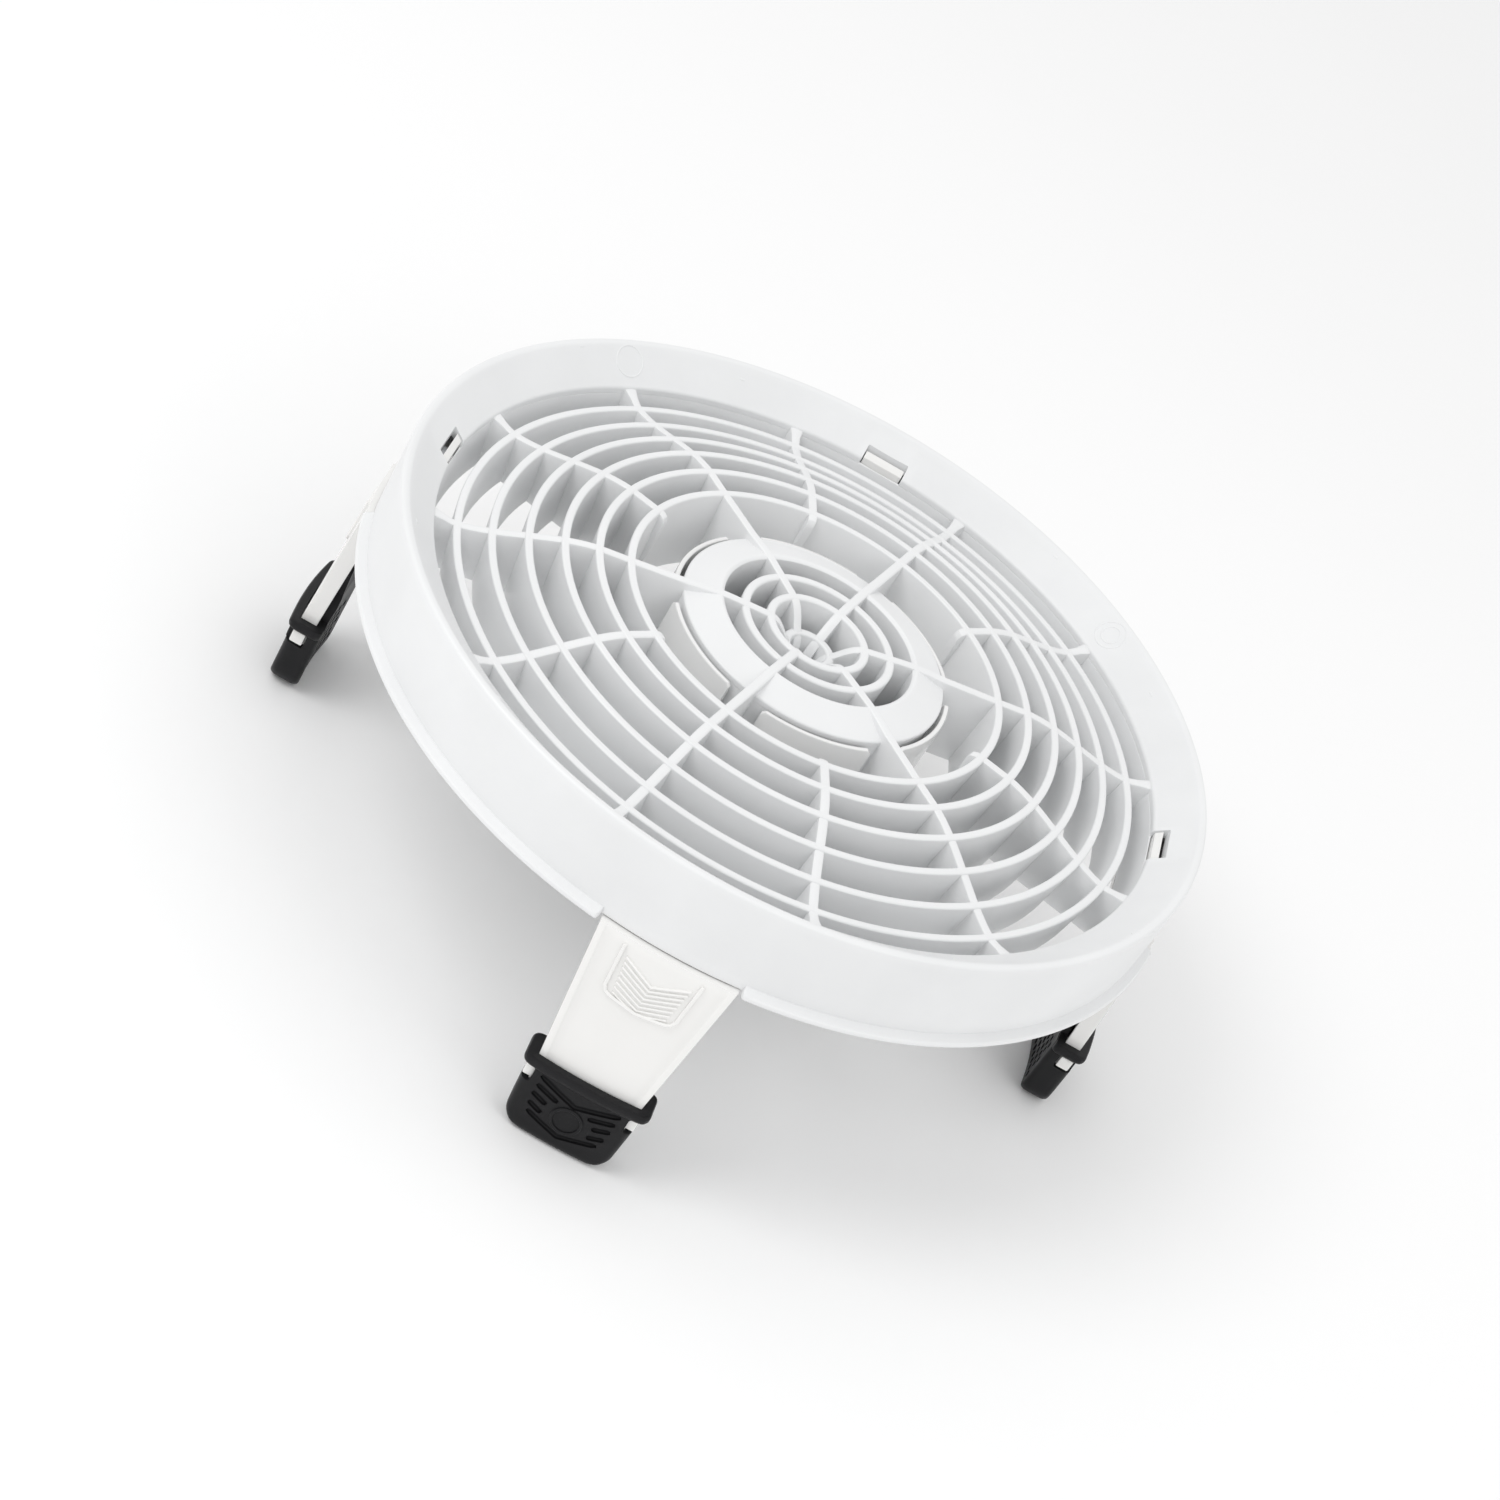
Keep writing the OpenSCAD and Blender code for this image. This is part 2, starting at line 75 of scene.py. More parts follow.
CROWN_START = 68.0          # radius where the grille's face begins to fall
CROWN_FALL = 9.9    # how far it has fallen at the collar
CROWN_PAST = 3.8    # from the outermost ring to where the fall ends
FACE_GAP = 1.0      # from the rim's face down to the ring tops
SPOKE_END = 117.6
SECTION = 100.0     # radius and height a louvre starts with, before its rule
HUB_RINGS = ((23.5, 1.0), (15.3, 1.2), (7.2, 7.6))      # (radius, depth below the face)

CUP_R = 45.0
CUP_ARCS = 6
CUP_ARC_HALF = 22.5         # degrees

LEG_TOP = BACK + 0.55
LEG_OUT = 132.3
LEG_SLOPE = math.tan(math.radians(3.4))
ROOT_HALF = 18.9
RIB_HALF = 9.7      # half the width of a chevron rib
BOOT_TOP = 26.5
BOOT_SKIN = 1.5     # from the leg's face out to the boot's
BOOT_DEPTH = 7.9    # from the leg's face in to the boot's back
SOLE_CORNER = 6.0           # rounding of the sole at its ends
SOLE_EDGE = 2.4     # and along its long edges


# ---- sizes and colours

def size(name, default, text):
    """A length in metres, given here in millimetres."""
    return FloatProperty(name=name, description=text, default=default * MM, min=0.0,
                         unit="LENGTH", precision=5)


def colour(name, default, text):
    return FloatVectorProperty(name=name, description=text, default=default, size=3,
                               min=0.0, max=1.0, subtype="COLOR")


class DiffuserRimSizes(PropertyGroup):
    radius: size("Radius", 130.0, "Outer radius of the rim's skirt")
    flange: size("Flange", 13.2, "Width of the dished flange")
    drop: size("Drop", 9.0, "How far the flange's inner edge lies below its outer edge")
    wall: size("Wall", 2.4, "Thickness of the rim's wall")
    lip: size("Lip", 2.8, "How far the back lip stands out")
    lip_height: size("Lip height", 2.8, "Height of the back lip")


class DiffuserGrilleSizes(PropertyGroup):
    outer: size("Outer ring", 109.2, "Radius of the outermost louvre ring")
    pitch: size("Pitch", 9.9, "Distance from ring to ring")
    blade: size("Blade", 2.5, "Thickness of a louvre ring")
    lean: size("Lean", 2.2, "How far a ring leans in at its back edge")
    spoke: size("Spoke", 3.0, "Thickness of a spoke")
    rings: IntProperty(name="Rings", description="Number of louvre rings", default=6, min=1)
    spokes: IntProperty(name="Spokes", description="Spokes of each length", default=6, min=2)


class DiffuserLegSizes(PropertyGroup):
    top: size("Top width", 41.0, "Width of a leg under the rim")
    tip: size("Tip width", 31.6, "Width of a leg at its boot")
    depth: size("Rail depth", 5.2, "Depth of the rails along a leg")
    ribs: IntProperty(name="Ribs", description="Chevron ribs on a thumb pad", default=8, min=1)
    rib_pitch: size("Rib pitch", 1.7, "Distance from rib to rib")


class DiffuserColours(PropertyGroup):
    white: colour("White", (0.78, 0.787, 0.792), "Cool white moulding")
    cup: colour("Cup", (0.79, 0.79, 0.785), "Neutral white moulding of the hub cup")
    warm: colour("Warm white", (0.83, 0.825, 0.81), "Glossy warm white moulding")
    rubber: colour("Rubber", (0.007, 0.007, 0.008), "Black rubber")
    steel: colour("Steel", (0.56, 0.57, 0.59), "Plated steel")


def sizes(kind):
    return getattr(bpy.context.scene, "diffuser_" + kind)


# ---- mesh helpers

def rounded(corners, steps=5):
    """Outline of (a, b, radius) corners with each corner rounded."""
    out = []
    count = len(corners)
    for i, (a, b, radius) in enumerate(corners):
        here = Vector((a, b))
        to_last = Vector(corners[i - 1][:2]) - here
        to_next = Vector(corners[(i + 1) % count][:2]) - here
        angle = to_last.angle(to_next)
        if radius <= 0 or angle > math.radians(178):
            out.append((a, b))
            continue
        reach = min(radius / math.tan(angle / 2), 0.45 * to_last.length, 0.45 * to_next.length)
        bend = reach * math.tan(angle / 2)
        middle = here + (to_last.normalized() + to_next.normalized()).normalized() \
            * (bend / math.sin(angle / 2))
        start = here + to_last.normalized() * reach - middle
        turn = start.angle_signed(here + to_next.normalized() * reach - middle)
        for k in range(steps + 1):
            at = middle + Matrix.Rotation(-turn * k / steps, 2) @ start
            out.append((at.x, at.y))
    return out


def linked(name, data):
    """New object of data, in the scene."""
    obj = bpy.data.objects.new(name, data)
    bpy.context.scene.collection.objects.link(obj)
    return obj


def mesh_object(name, points, faces):
    """Closed mesh object from points in millimetres, its normals outwards."""
    data = bpy.data.meshes.new(name)
    data.from_pydata([tuple(c * MM for c in p) for p in points], [], faces)
    obj = linked(name, data)
    clean(obj)
    return obj


def clean(obj):
    mesh = bmesh.new()
    mesh.from_mesh(obj.data)
    bmesh.ops.remove_doubles(mesh, verts=mesh.verts, dist=2e-6)
    bmesh.ops.dissolve_degenerate(mesh, edges=mesh.edges, dist=1e-6)
    bmesh.ops.recalc_face_normals(mesh, faces=mesh.faces)
    mesh.to_mesh(obj.data)
    mesh.free()


def loft(name, sections, closed=False):
    """Skin over sections of equally many points; closed joins the last to the first."""
    width = len(sections[0])
    points = [p for section in sections for p in section]
    faces = []
    count = len(sections)
    for i in range(count if closed else count - 1):
        j = (i + 1) % count
        for k in range(width):
            m = (k + 1) % width
            faces.append((i * width + k, i * width + m, j * width + m, j * width + k))
    if not closed:
        faces.append(tuple(range(width)))
        faces.append(tuple(range((count - 1) * width, count * width)))
    return mesh_object(name, points, faces)


def turned(outline, degrees):
    """An (r, z) outline turned about Z."""
    a = math.radians(degrees)
    return [(r * math.cos(a), r * math.sin(a), z) for r, z in outline]


def lathe(name, outline, steps=240):
    """Turns an (r, z) outline all the way about Z."""
    return loft(name, [turned(outline, 360.0 * k / steps) for k in range(steps)], closed=True)


def block(name, x, y, z, edge=0.0):
    """Box between two x, two y and two z, its edges rounded."""
    points = [(a, b, c) for a in x for b in y for c in z]
    faces = [(0, 1, 3, 2), (4, 5, 7, 6), (0, 1, 5, 4), (2, 3, 7, 6), (0, 2, 6, 4), (1, 3, 7, 5)]
    obj = mesh_object(name, points, faces)
    if edge:
        soften(obj, edge)
    return obj


def prism(name, outline, low, high, upright=False):
    """Prism of an (x, y) outline between two heights; upright, of an (x, z) one between two y."""
    return loft(name, [[(a, h, b) if upright else (a, b, h) for a, b in outline]
                       for h in (low, high)])


def fine_path(path, steps):
    """Points (a, b, side) along a path, each stretch in steps, side the unit normal there."""
    fine = []
    for (a0, b0), (a1, b1) in zip(path, path[1:]):
        fine += [(a0 + (a1 - a0) * k / steps, b0 + (b1 - b0) * k / steps) for k in range(steps)]
    fine.append(path[-1])
    out = []
    for k, (a, b) in enumerate(fine):
        before, after = fine[max(0, k - 1)], fine[min(len(fine) - 1, k + 1)]
        along = Vector((after[0] - before[0], after[1] - before[1])).normalized()
        out.append((a, b, Vector((-along.y, along.x))))
    return out


def baked(obj):
    """obj with its modifiers worked into a plain mesh."""
    bpy.context.view_layer.update()
    seen = obj.evaluated_get(bpy.context.evaluated_depsgraph_get())
    data = bpy.data.meshes.new_from_object(seen)
    obj.modifiers.clear()
    obj.data = data
    return obj


def soften(obj, width):
    """Bevels the corners of obj."""
    bevel = obj.modifiers.new("Soft edges", "BEVEL")
    bevel.width = width * MM
    bevel.segments = 2
    bevel.limit_method = "ANGLE"
    bevel.angle_limit = math.radians(35)
    return baked(obj)


def carve(obj, tools):
    """Cuts the tools from obj and deletes them."""
    for tool in tools:
        cut = obj.modifiers.new("Cut", "BOOLEAN")
        cut.operation = "DIFFERENCE"
        cut.solver = "EXACT"
        cut.object = tool
        baked(obj)
        bpy.data.objects.remove(tool)
    clean(obj)
    return obj


def laid(obj, place, degrees, axis):
    """obj turned about an axis, then moved to a place in millimetres."""
    obj.data.transform(Matrix.Translation(tuple(c * MM for c in place))
                       @ Matrix.Rotation(math.radians(degrees), 4, axis))
    return obj


def leg_angle(i):
    return -90.0 + 90.0 * i


def at_leg(obj, i):
    """obj, made along X, turned to leg i."""
    obj.data.transform(Matrix.Rotation(math.radians(leg_angle(i)), 4, "Z"))
    return obj


def leg_copy(obj, name, i):
    """Copy of obj turned to leg i in its mesh, its object at the origin."""
    return at_leg(linked(name, obj.data.copy()), i)


def joined(name, parts):
    """One object from several closed shells."""
    mesh = bmesh.new()
    for part in parts:
        mesh.from_mesh(part.data)
    data = bpy.data.meshes.new(name)
    mesh.to_mesh(data)
    mesh.free()
    for part in parts:
        bpy.data.objects.remove(part)
    return linked(name, data)


def smooth(obj, angle=32):
    """Smooth shading whose normals follow the large faces, with sharp corners kept."""
    for face in obj.data.polygons:
        face.use_smooth = True
    obj.data.set_sharp_from_angle(angle=math.radians(angle))
    weighted = obj.modifiers.new("Face weighted normals", "WEIGHTED_NORMAL")
    weighted.keep_sharp = True
    weighted.weight = 80
    baked(obj)


def finish(name):
    return bpy.data.materials[name]


def finish_piece(obj, body, paint, slot, *nodes):
    """Smooth shading, finish, body and the CAD nodes that obj stands for; slot is not used."""
    obj.data.materials.clear()
    obj.data.materials.append(finish(paint))
    for face in obj.data.polygons:
        face.material_index = 0
    smooth(obj)
    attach(obj, body)
    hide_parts(*nodes)


def white_piece(obj, node):
    """Finishes a piece of the fixed cool white moulding."""
    finish_piece(obj, "diffuser", "Cool white plastic", "white_plastic", node)


# ---- shader groups and finishes

FLOAT, VECTOR = "NodeSocketFloat", "NodeSocketVector"
COUNT, PAINT = "NodeSocketInt", "NodeSocketMaterial"


def new_group(name, inputs, outputs):
    """Empty shader group with (name, type, default) inputs and (name, type) outputs."""
    tree = bpy.data.node_groups.new(name, "ShaderNodeTree")
    for label, kind, default in inputs:
        socket = tree.interface.new_socket(label, in_out="INPUT", socket_type=kind)
        socket.default_value = default
    for label, kind in outputs:
        tree.interface.new_socket(label, in_out="OUTPUT", socket_type=kind)
    return tree, tree.nodes.new("NodeGroupInput"), tree.nodes.new("NodeGroupOutput")


def feed(tree, socket, value):
    """Links a socket to value, or sets it to value where that is a constant."""
    if isinstance(value, bpy.types.NodeSocket):
        tree.links.new(value, socket)
    else:
        socket.default_value = value


def maths(tree, operation, *values):
    """A Math node on sockets or numbers; gives its output."""
    node = tree.nodes.new("ShaderNodeMath")
    node.operation = operation
    for k, value in enumerate(values):
        feed(tree, node.inputs[k], value)
    return node.outputs[0]


def noise(tree, where, scale, detail, rough=0.5):
    node = tree.nodes.new("ShaderNodeTexNoise")
    for label, value in (("Detail", detail), ("Roughness", rough), ("Vector", where),
                         ("Scale", scale)):
        feed(tree, node.inputs[label], value)
    return node.outputs["Fac"]


def moulded_grain():
    """Fine spark-eroded grain with slow flow marks, for moulded plastic and rubber."""
    tree, into, out = new_group(
        "Moulded grain", [("Vector", VECTOR, (0, 0, 0)), ("Scale", FLOAT, 1500.0),
                          ("Flow", FLOAT, 35.0)],
        [("Height", FLOAT), ("Flow mask", FLOAT)])
    fine = noise(tree, into.outputs["Vector"], into.outputs["Scale"], 3.0, 0.6)
    flow = noise(tree, into.outputs["Vector"], into.outputs["Flow"], 4.0)
    height = maths(tree, "ADD", maths(tree, "MULTIPLY", fine, 0.75),
                   maths(tree, "MULTIPLY", flow, 0.25))
    tree.links.new(height, out.inputs["Height"])
    tree.links.new(flow, out.inputs["Flow mask"])
    return tree


def edge_highlight_and_hollow_shade():
    """Masks for the painted highlight on edges and the painted shade in corners, from how the
    surface bends.
    """
    tree, into, out = new_group("Worn edges", [("Width", FLOAT, 0.012)],
                                [("Edge", FLOAT), ("Hollow shade", FLOAT)])
    bend = tree.nodes.new("ShaderNodeNewGeometry").outputs["Pointiness"]
    above = maths(tree, "SUBTRACT", bend, 0.5)
    # Convex edges give the mask of the painted highlight, inner corners the mask of the painted
    # shade.
    for sign, label in ((1.0, "Edge"), (-1.0, "Hollow shade")):
        mask = maths(tree, "DIVIDE", maths(tree, "MULTIPLY", above, sign), into.outputs["Width"])
        mask.node.use_clamp = True
        tree.links.new(mask, out.inputs[label])
    return tree


def settled_dust():
    """Patches of light dust on faces that look up."""
    tree, into, out = new_group(
        "Settled dust", [("Vector", VECTOR, (0, 0, 0)), ("Amount", FLOAT, 0.1),
                         ("Scale", FLOAT, 60.0)],
        [("Mask", FLOAT)])
    split = tree.nodes.new("ShaderNodeSeparateXYZ")
    tree.links.new(tree.nodes.new("ShaderNodeNewGeometry").outputs["Normal"], split.inputs[0])
    up = maths(tree, "MAXIMUM", split.outputs["Z"], 0.0)
    patches = noise(tree, into.outputs["Vector"], into.outputs["Scale"], 5.0, 0.65)
    mask = maths(tree, "MULTIPLY", maths(tree, "MULTIPLY", up, patches), into.outputs["Amount"])
    tree.links.new(mask, out.inputs["Mask"])
    return tree


def place_group(tree, name, where=None, **values):
    node = tree.nodes.new("ShaderNodeGroup")
    node.node_tree = bpy.data.node_groups[name]
    for label, value in values.items():
        node.inputs[label].default_value = value
    if where is not None:
        tree.links.new(where, node.inputs["Vector"])
    return node


def blend(tree, share, a, b):
    """Mixes two colours or colour sockets by share."""
    node = tree.nodes.new("ShaderNodeMix")
    node.data_type = "RGBA"
    tree.links.new(share, node.inputs["Factor"])
    for label, value in (("A", a), ("B", b)):
        socket = [s for s in node.inputs if s.name == label and s.type == "RGBA"][0]
        feed(tree, socket, (*value, 1.0) if isinstance(value, tuple) else value)
    return [s for s in node.outputs if s.type == "RGBA"][0]


def make_finish(name, base, rough, grain, flow, bump, highlight_and_edge_gloss=(0.02, 0.04), dust=0.04,
                metal=0.0, coat=0.0, shine=0.5):
    """Material of one base colour varied by flow marks, painted highlights on edges, painted
    shade in hollows and dust.
    """
    material = bpy.data.materials.new(name)
    material.use_nodes = True
    tree = material.node_tree
    shader = tree.nodes["Principled BSDF"]
    where = tree.nodes.new("ShaderNodeTexCoord").outputs["Object"]
    grained = place_group(tree, "Moulded grain", where, Scale=grain, Flow=flow)
    edges = place_group(tree, "Worn edges")
    dusty = place_group(tree, "Settled dust", where, Amount=dust)
    # The first of these two values lifts the lighter tone, used for the flow marks and for the
    # painted highlight on edges; the second makes edges less rough.
    lighter = tuple(min(1.0, c * 1.05 + highlight_and_edge_gloss[0]) for c in base)
    darker = tuple(c * 0.93 for c in base)
    flecked = blend(tree, grained.outputs["Flow mask"], darker, lighter)
    # Painted highlight: edges made lighter where the surface bends outwards sharply.
    edge_highlit = blend(tree, maths(tree, "MULTIPLY", edges.outputs["Edge"], 0.3), flecked, lighter)
    # Painted shade: hollows and inner corners darkened towards 0.82 of the base colour.
    hollow_shaded = blend(tree, maths(tree, "MULTIPLY", edges.outputs["Hollow shade"], 0.15), edge_highlit,
                   tuple(c * 0.82 for c in base))
    dusted = blend(tree, dusty.outputs["Mask"], hollow_shaded, (0.62, 0.61, 0.59))
    tree.links.new(dusted, shader.inputs["Base Color"])
    spread = maths(tree, "MULTIPLY_ADD", grained.outputs["Flow mask"], 0.12, rough - 0.06)
    rougher = maths(tree, "MULTIPLY_ADD", edges.outputs["Edge"], -highlight_and_edge_gloss[1], spread)
    tree.links.new(maths(tree, "ADD", rougher, dusty.outputs["Mask"]), shader.inputs["Roughness"])
    raised = tree.nodes.new("ShaderNodeBump")
    raised.inputs["Strength"].default_value = bump
    raised.inputs["Distance"].default_value = 0.00012
    tree.links.new(grained.outputs["Height"], raised.inputs["Height"])
    tree.links.new(raised.outputs["Normal"], shader.inputs["Normal"])
    for label, value in (("Metallic", metal), ("Coat Weight", coat), ("Coat Roughness", 0.12),
                         ("Specular IOR Level", shine)):
        shader.inputs[label].default_value = value


def make_finishes():
    moulded_grain()
    edge_highlight_and_hollow_shade()
    settled_dust()
    tint = sizes("colours")
    make_finish("Cool white plastic", tuple(tint.white), 0.42, 1500.0, 30.0, 0.22, dust=0.03)
    make_finish("Warm white plastic", tuple(tint.warm), 0.2, 900.0, 22.0, 0.08, dust=0.02,
                coat=0.35)
    make_finish("Neutral white plastic", tuple(tint.cup), 0.24, 1000.0, 26.0, 0.1, dust=0.02,
                coat=0.25)
    make_finish("Black rubber", tuple(tint.rubber), 0.5, 1100.0, 55.0, 0.4, dust=0.004,
                highlight_and_edge_gloss=(0.003, 0.08), shine=0.22)
    make_finish("Plated steel", tuple(tint.steel), 0.3, 2200.0, 90.0, 0.15, metal=1.0, dust=0.0)
    make_finish("Spring steel", tuple(c * 0.8 for c in tint.steel), 0.24, 2600.0, 140.0, 0.1,
                metal=1.0, dust=0.0)


# ---- geometry nodes

class Rule:
    """A geometry node tree being written: named inputs, maths and links."""

    def __init__(self, name, inputs):
        self.tree = bpy.data.node_groups.new(name, "GeometryNodeTree")
        face = self.tree.interface
        face.new_socket("Geometry", in_out="INPUT", socket_type="NodeSocketGeometry")
        for label, kind, default in inputs:
            socket = face.new_socket(label, in_out="INPUT", socket_type=kind)
            if default is not None:
                socket.default_value = default
        face.new_socket("Geometry", in_out="OUTPUT", socket_type="NodeSocketGeometry")
        self.given = self.tree.nodes.new("NodeGroupInput").outputs
        self.out = self.tree.nodes.new("NodeGroupOutput")

    def add(self, kind, links=(), **settings):
        node = self.tree.nodes.new(kind)
        for label, value in settings.items():
            setattr(node, label, value)
        for socket, value in dict(links).items():
            feed(self.tree, node.inputs[socket], value)
        return node

    def maths(self, operation, *values):
        return maths(self.tree, operation, *values)

    def plus(self, a, b):
        return self.maths("ADD", a, b)

    def minus(self, a, b):
        return self.maths("SUBTRACT", a, b)

    def times(self, a, b):
        return self.maths("MULTIPLY", a, b)

    def vector(self, x, y, z):
        return self.add("ShaderNodeCombineXYZ", {0: x, 1: y, 2: z}).outputs[0]

    def index_points(self, count):
        """Points in a row with their number kept as an attribute."""
        line = self.add("GeometryNodeMeshLine", {"Count": count, "Offset": (0.0, 0.0, 0.0)},
                        mode="OFFSET")
        stored = self.add("GeometryNodeStoreNamedAttribute",
                          {"Geometry": line.outputs[0], "Name": "number"},
                          data_type="FLOAT", domain="POINT")
        number = self.add("GeometryNodeInputIndex").outputs[0]
        self.tree.links.new(number, stored.inputs["Value"])
        return stored.outputs[0]

    def number(self):
        return self.add("GeometryNodeInputNamedAttribute", {"Name": "number"},
                        data_type="FLOAT").outputs[0]

    def end(self, geometry):
        """Ends the tree in Realize Instances and Set Material."""
        real = self.add("GeometryNodeRealizeInstances", {0: geometry}).outputs[0]
        painted = self.add("GeometryNodeSetMaterial",
                           {"Geometry": real, "Material": self.given["Material"]})
        self.tree.links.new(painted.outputs[0], self.out.inputs[0])
        return self.tree


def louvre_rule():
    """Rings of one blade section, each as high as the crown of the grille at its radius."""
    rule = Rule("Louvre rings", [
        ("Rings", COUNT, 6), ("Outer radius", FLOAT, 0.1092), ("Pitch", FLOAT, 0.0099),
        ("Lean", FLOAT, 0.0022), ("Section radius", FLOAT, 0.1), ("Base", FLOAT, 0.076),
        ("Crown height", FLOAT, 0.1015), ("Crown fall", FLOAT, 0.0099),
        ("Crown start", FLOAT, 0.068), ("Crown end", FLOAT, 0.113), ("Material", PAINT, None)])
    given = rule.given
    points = rule.index_points(given["Rings"])
    rings = rule.add("GeometryNodeInstanceOnPoints",
                     {"Points": points, "Instance": given["Geometry"]}).outputs[0]
    real = rule.add("GeometryNodeRealizeInstances", {0: rings}).outputs[0]
    place = rule.add("GeometryNodeInputPosition").outputs[0]
    split = rule.add("ShaderNodeSeparateXYZ", {0: place}).outputs
    number = rule.number()
    flat = rule.vector(split["X"], split["Y"], 0.0)
    away = rule.add("ShaderNodeVectorMath", {0: flat}, operation="LENGTH").outputs["Value"]
    radius = rule.minus(given["Outer radius"], rule.times(given["Pitch"], number))
    crown = rule.add("ShaderNodeMapRange", {
        "Value": radius, "From Min": given["Crown start"], "From Max": given["Crown end"],
        "To Min": given["Crown height"],
        "To Max": rule.minus(given["Crown height"], given["Crown fall"])},
        interpolation_type="SMOOTHSTEP").outputs[0]
    upper = rule.maths("GREATER_THAN", split["Z"], SECTION * MM / 2)
    stretch = rule.minus(rule.minus(crown, given["Base"]), SECTION * MM)
    height = rule.plus(rule.plus(given["Base"], split["Z"]), rule.times(upper, stretch))
    below = rule.minus(1.0, upper)
    offset = rule.minus(rule.minus(away, given["Section radius"]),
                        rule.times(below, given["Lean"]))
    out = rule.maths("DIVIDE", rule.plus(radius, offset), away)
    at = rule.vector(rule.times(split["X"], out), rule.times(split["Y"], out), height)
    moved = rule.add("GeometryNodeSetPosition", {"Geometry": real, "Position": at})
    return rule.end(moved.outputs[0])


def round_rule():
    """Copies turned evenly about the axis."""
    rule = Rule("Round the axis", [
        ("Count", COUNT, 6), ("First angle", FLOAT, 0.0), ("Step angle", FLOAT, 1.0),
        ("Material", PAINT, None)])
    given = rule.given
    angle = rule.plus(given["First angle"], rule.times(given["Step angle"], rule.number()))
    copies = rule.add("GeometryNodeInstanceOnPoints", {
        "Points": rule.index_points(given["Count"]), "Instance": given["Geometry"],
        "Rotation": rule.vector(0.0, 0.0, angle)})
    return rule.end(copies.outputs[0])


def ladder_rule():
    """Ribs below one another that narrow and flatten, laid on a leg's round face."""
    rule = Rule("Rib ladder", [
        ("Count", COUNT, 8), ("Pitch", FLOAT, 0.0017), ("Narrowing", FLOAT, 0.02),
        ("Flattening", FLOAT, 0.05), ("Face radius", FLOAT, 0.1323), ("Face top", FLOAT, 0.074),
        ("Slope", FLOAT, 0.0594), ("Material", PAINT, None)])
    given = rule.given
    rows = rule.add("GeometryNodeInstanceOnPoints", {
        "Points": rule.index_points(given["Count"]), "Instance": given["Geometry"]}).outputs[0]
    real = rule.add("GeometryNodeRealizeInstances", {0: rows}).outputs[0]
    split = rule.add("ShaderNodeSeparateXYZ",
                     {0: rule.add("GeometryNodeInputPosition").outputs[0]}).outputs
    number = rule.number()
    narrow = rule.minus(1.0, rule.times(given["Narrowing"], number))
    flatten = rule.minus(1.0, rule.times(given["Flattening"], number))
    across = rule.times(split["Y"], narrow)
    height = rule.minus(rule.times(split["Z"], flatten), rule.times(given["Pitch"], number))
    level = rule.plus(given["Face top"], height)
    face = rule.plus(rule.minus(given["Face radius"], rule.times(height, given["Slope"])),
                     split["X"])
    round_in = rule.maths("SQRT", rule.minus(rule.times(face, face),
                                             rule.times(across, across)))
    moved = rule.add("GeometryNodeSetPosition", {
        "Geometry": real, "Position": rule.vector(round_in, across, level)})
    return rule.end(moved.outputs[0])


def follow(obj, rule, **values):
    """Runs a rule on obj with its inputs set, and leaves a plain mesh."""
    made = obj.modifiers.new(rule.name, "NODES")
    made.node_group = rule
    for item in rule.interface.items_tree:
        if item.in_out == "INPUT" and item.name in values:
            made[item.identifier] = values[item.name]
    obj.update_tag()
    return baked(obj)


# ---- rim

def flange_height(r, s):
    """Height of the flange's face at radius r."""
    outer = s.radius / MM - 2.1
    return FACE - s.drop / MM * (outer - r) / (outer - (s.radius - s.flange) / MM)


def on_flange(r, degrees, along, across, proud, s):
    """Point on the flange, along its slope and across it, standing proud of its face."""
    slope = math.atan2(s.drop, s.flange - 2.1 * MM)
    at = r + along * math.cos(slope)
    a = math.radians(degrees) + across / at
    out = at - proud * math.sin(slope)
    return (out * math.cos(a), out * math.sin(a), flange_height(at, s) + proud * math.cos(slope))


def raised_ring(r, degrees, radius, s):
    """Shallow moulded ring on the flange."""
    sections = []
    for k in range(64):
        t = math.radians(360.0 * k / 64)
        sections.append([on_flange(r, degrees, (radius + out) * math.cos(t),
                                   (radius + out) * math.sin(t), proud, s)
                         for out, proud in ((-0.28, -0.5), (0.28, -0.5), (0.28, 0.04),
                                            (0.14, 0.14), (-0.14, 0.14), (-0.28, 0.04))])
    return loft("ring", sections, closed=True)


def raised_mark(r, degrees, s):
    """Small raised ejector mark on the flange."""
    return loft("mark", [[on_flange(r, degrees, along, across, proud, s)
                          for along, across in ((-w, -l), (w, -l), (w, l), (-w, l))]
                         for proud, w, l in ((-0.5, 0.35, 0.9), (0.05, 0.35, 0.9),
                                             (0.12, 0.25, 0.8))])


def lip_arc(start, end, s):
    """Stretch of the back lip between two legs, its ends rounded away."""
    radius, out, high = s.radius / MM, s.lip / MM, s.lip_height / MM
    sections = []
    near = [LIP_EASE * (1 - math.cos(math.pi / 2 * k / 5)) for k in range(6)]
    span = end - start
    middle = [LIP_EASE + (span - 2 * LIP_EASE) * k / 56 for k in range(1, 56)]
    for along in near + middle + [span - t for t in reversed(near)]:
        from_end = min(along, span - along) / LIP_EASE
        full = math.sqrt(max(0.0, 1 - (1 - min(1.0, from_end)) ** 2))
        reach = max(0.05, out * full)
        sections.append(turned([
            (radius - 0.8, BACK), (radius + reach - 0.3 * full, BACK),
            (radius + reach, BACK + 0.4), (radius + reach, BACK + 0.46 * high),
            (radius + reach * 0.86, BACK + 0.66 * high), (radius + 0.05, BACK + high),
            (radius - 0.8, BACK + high)], start + along))
    return loft("lip", sections)


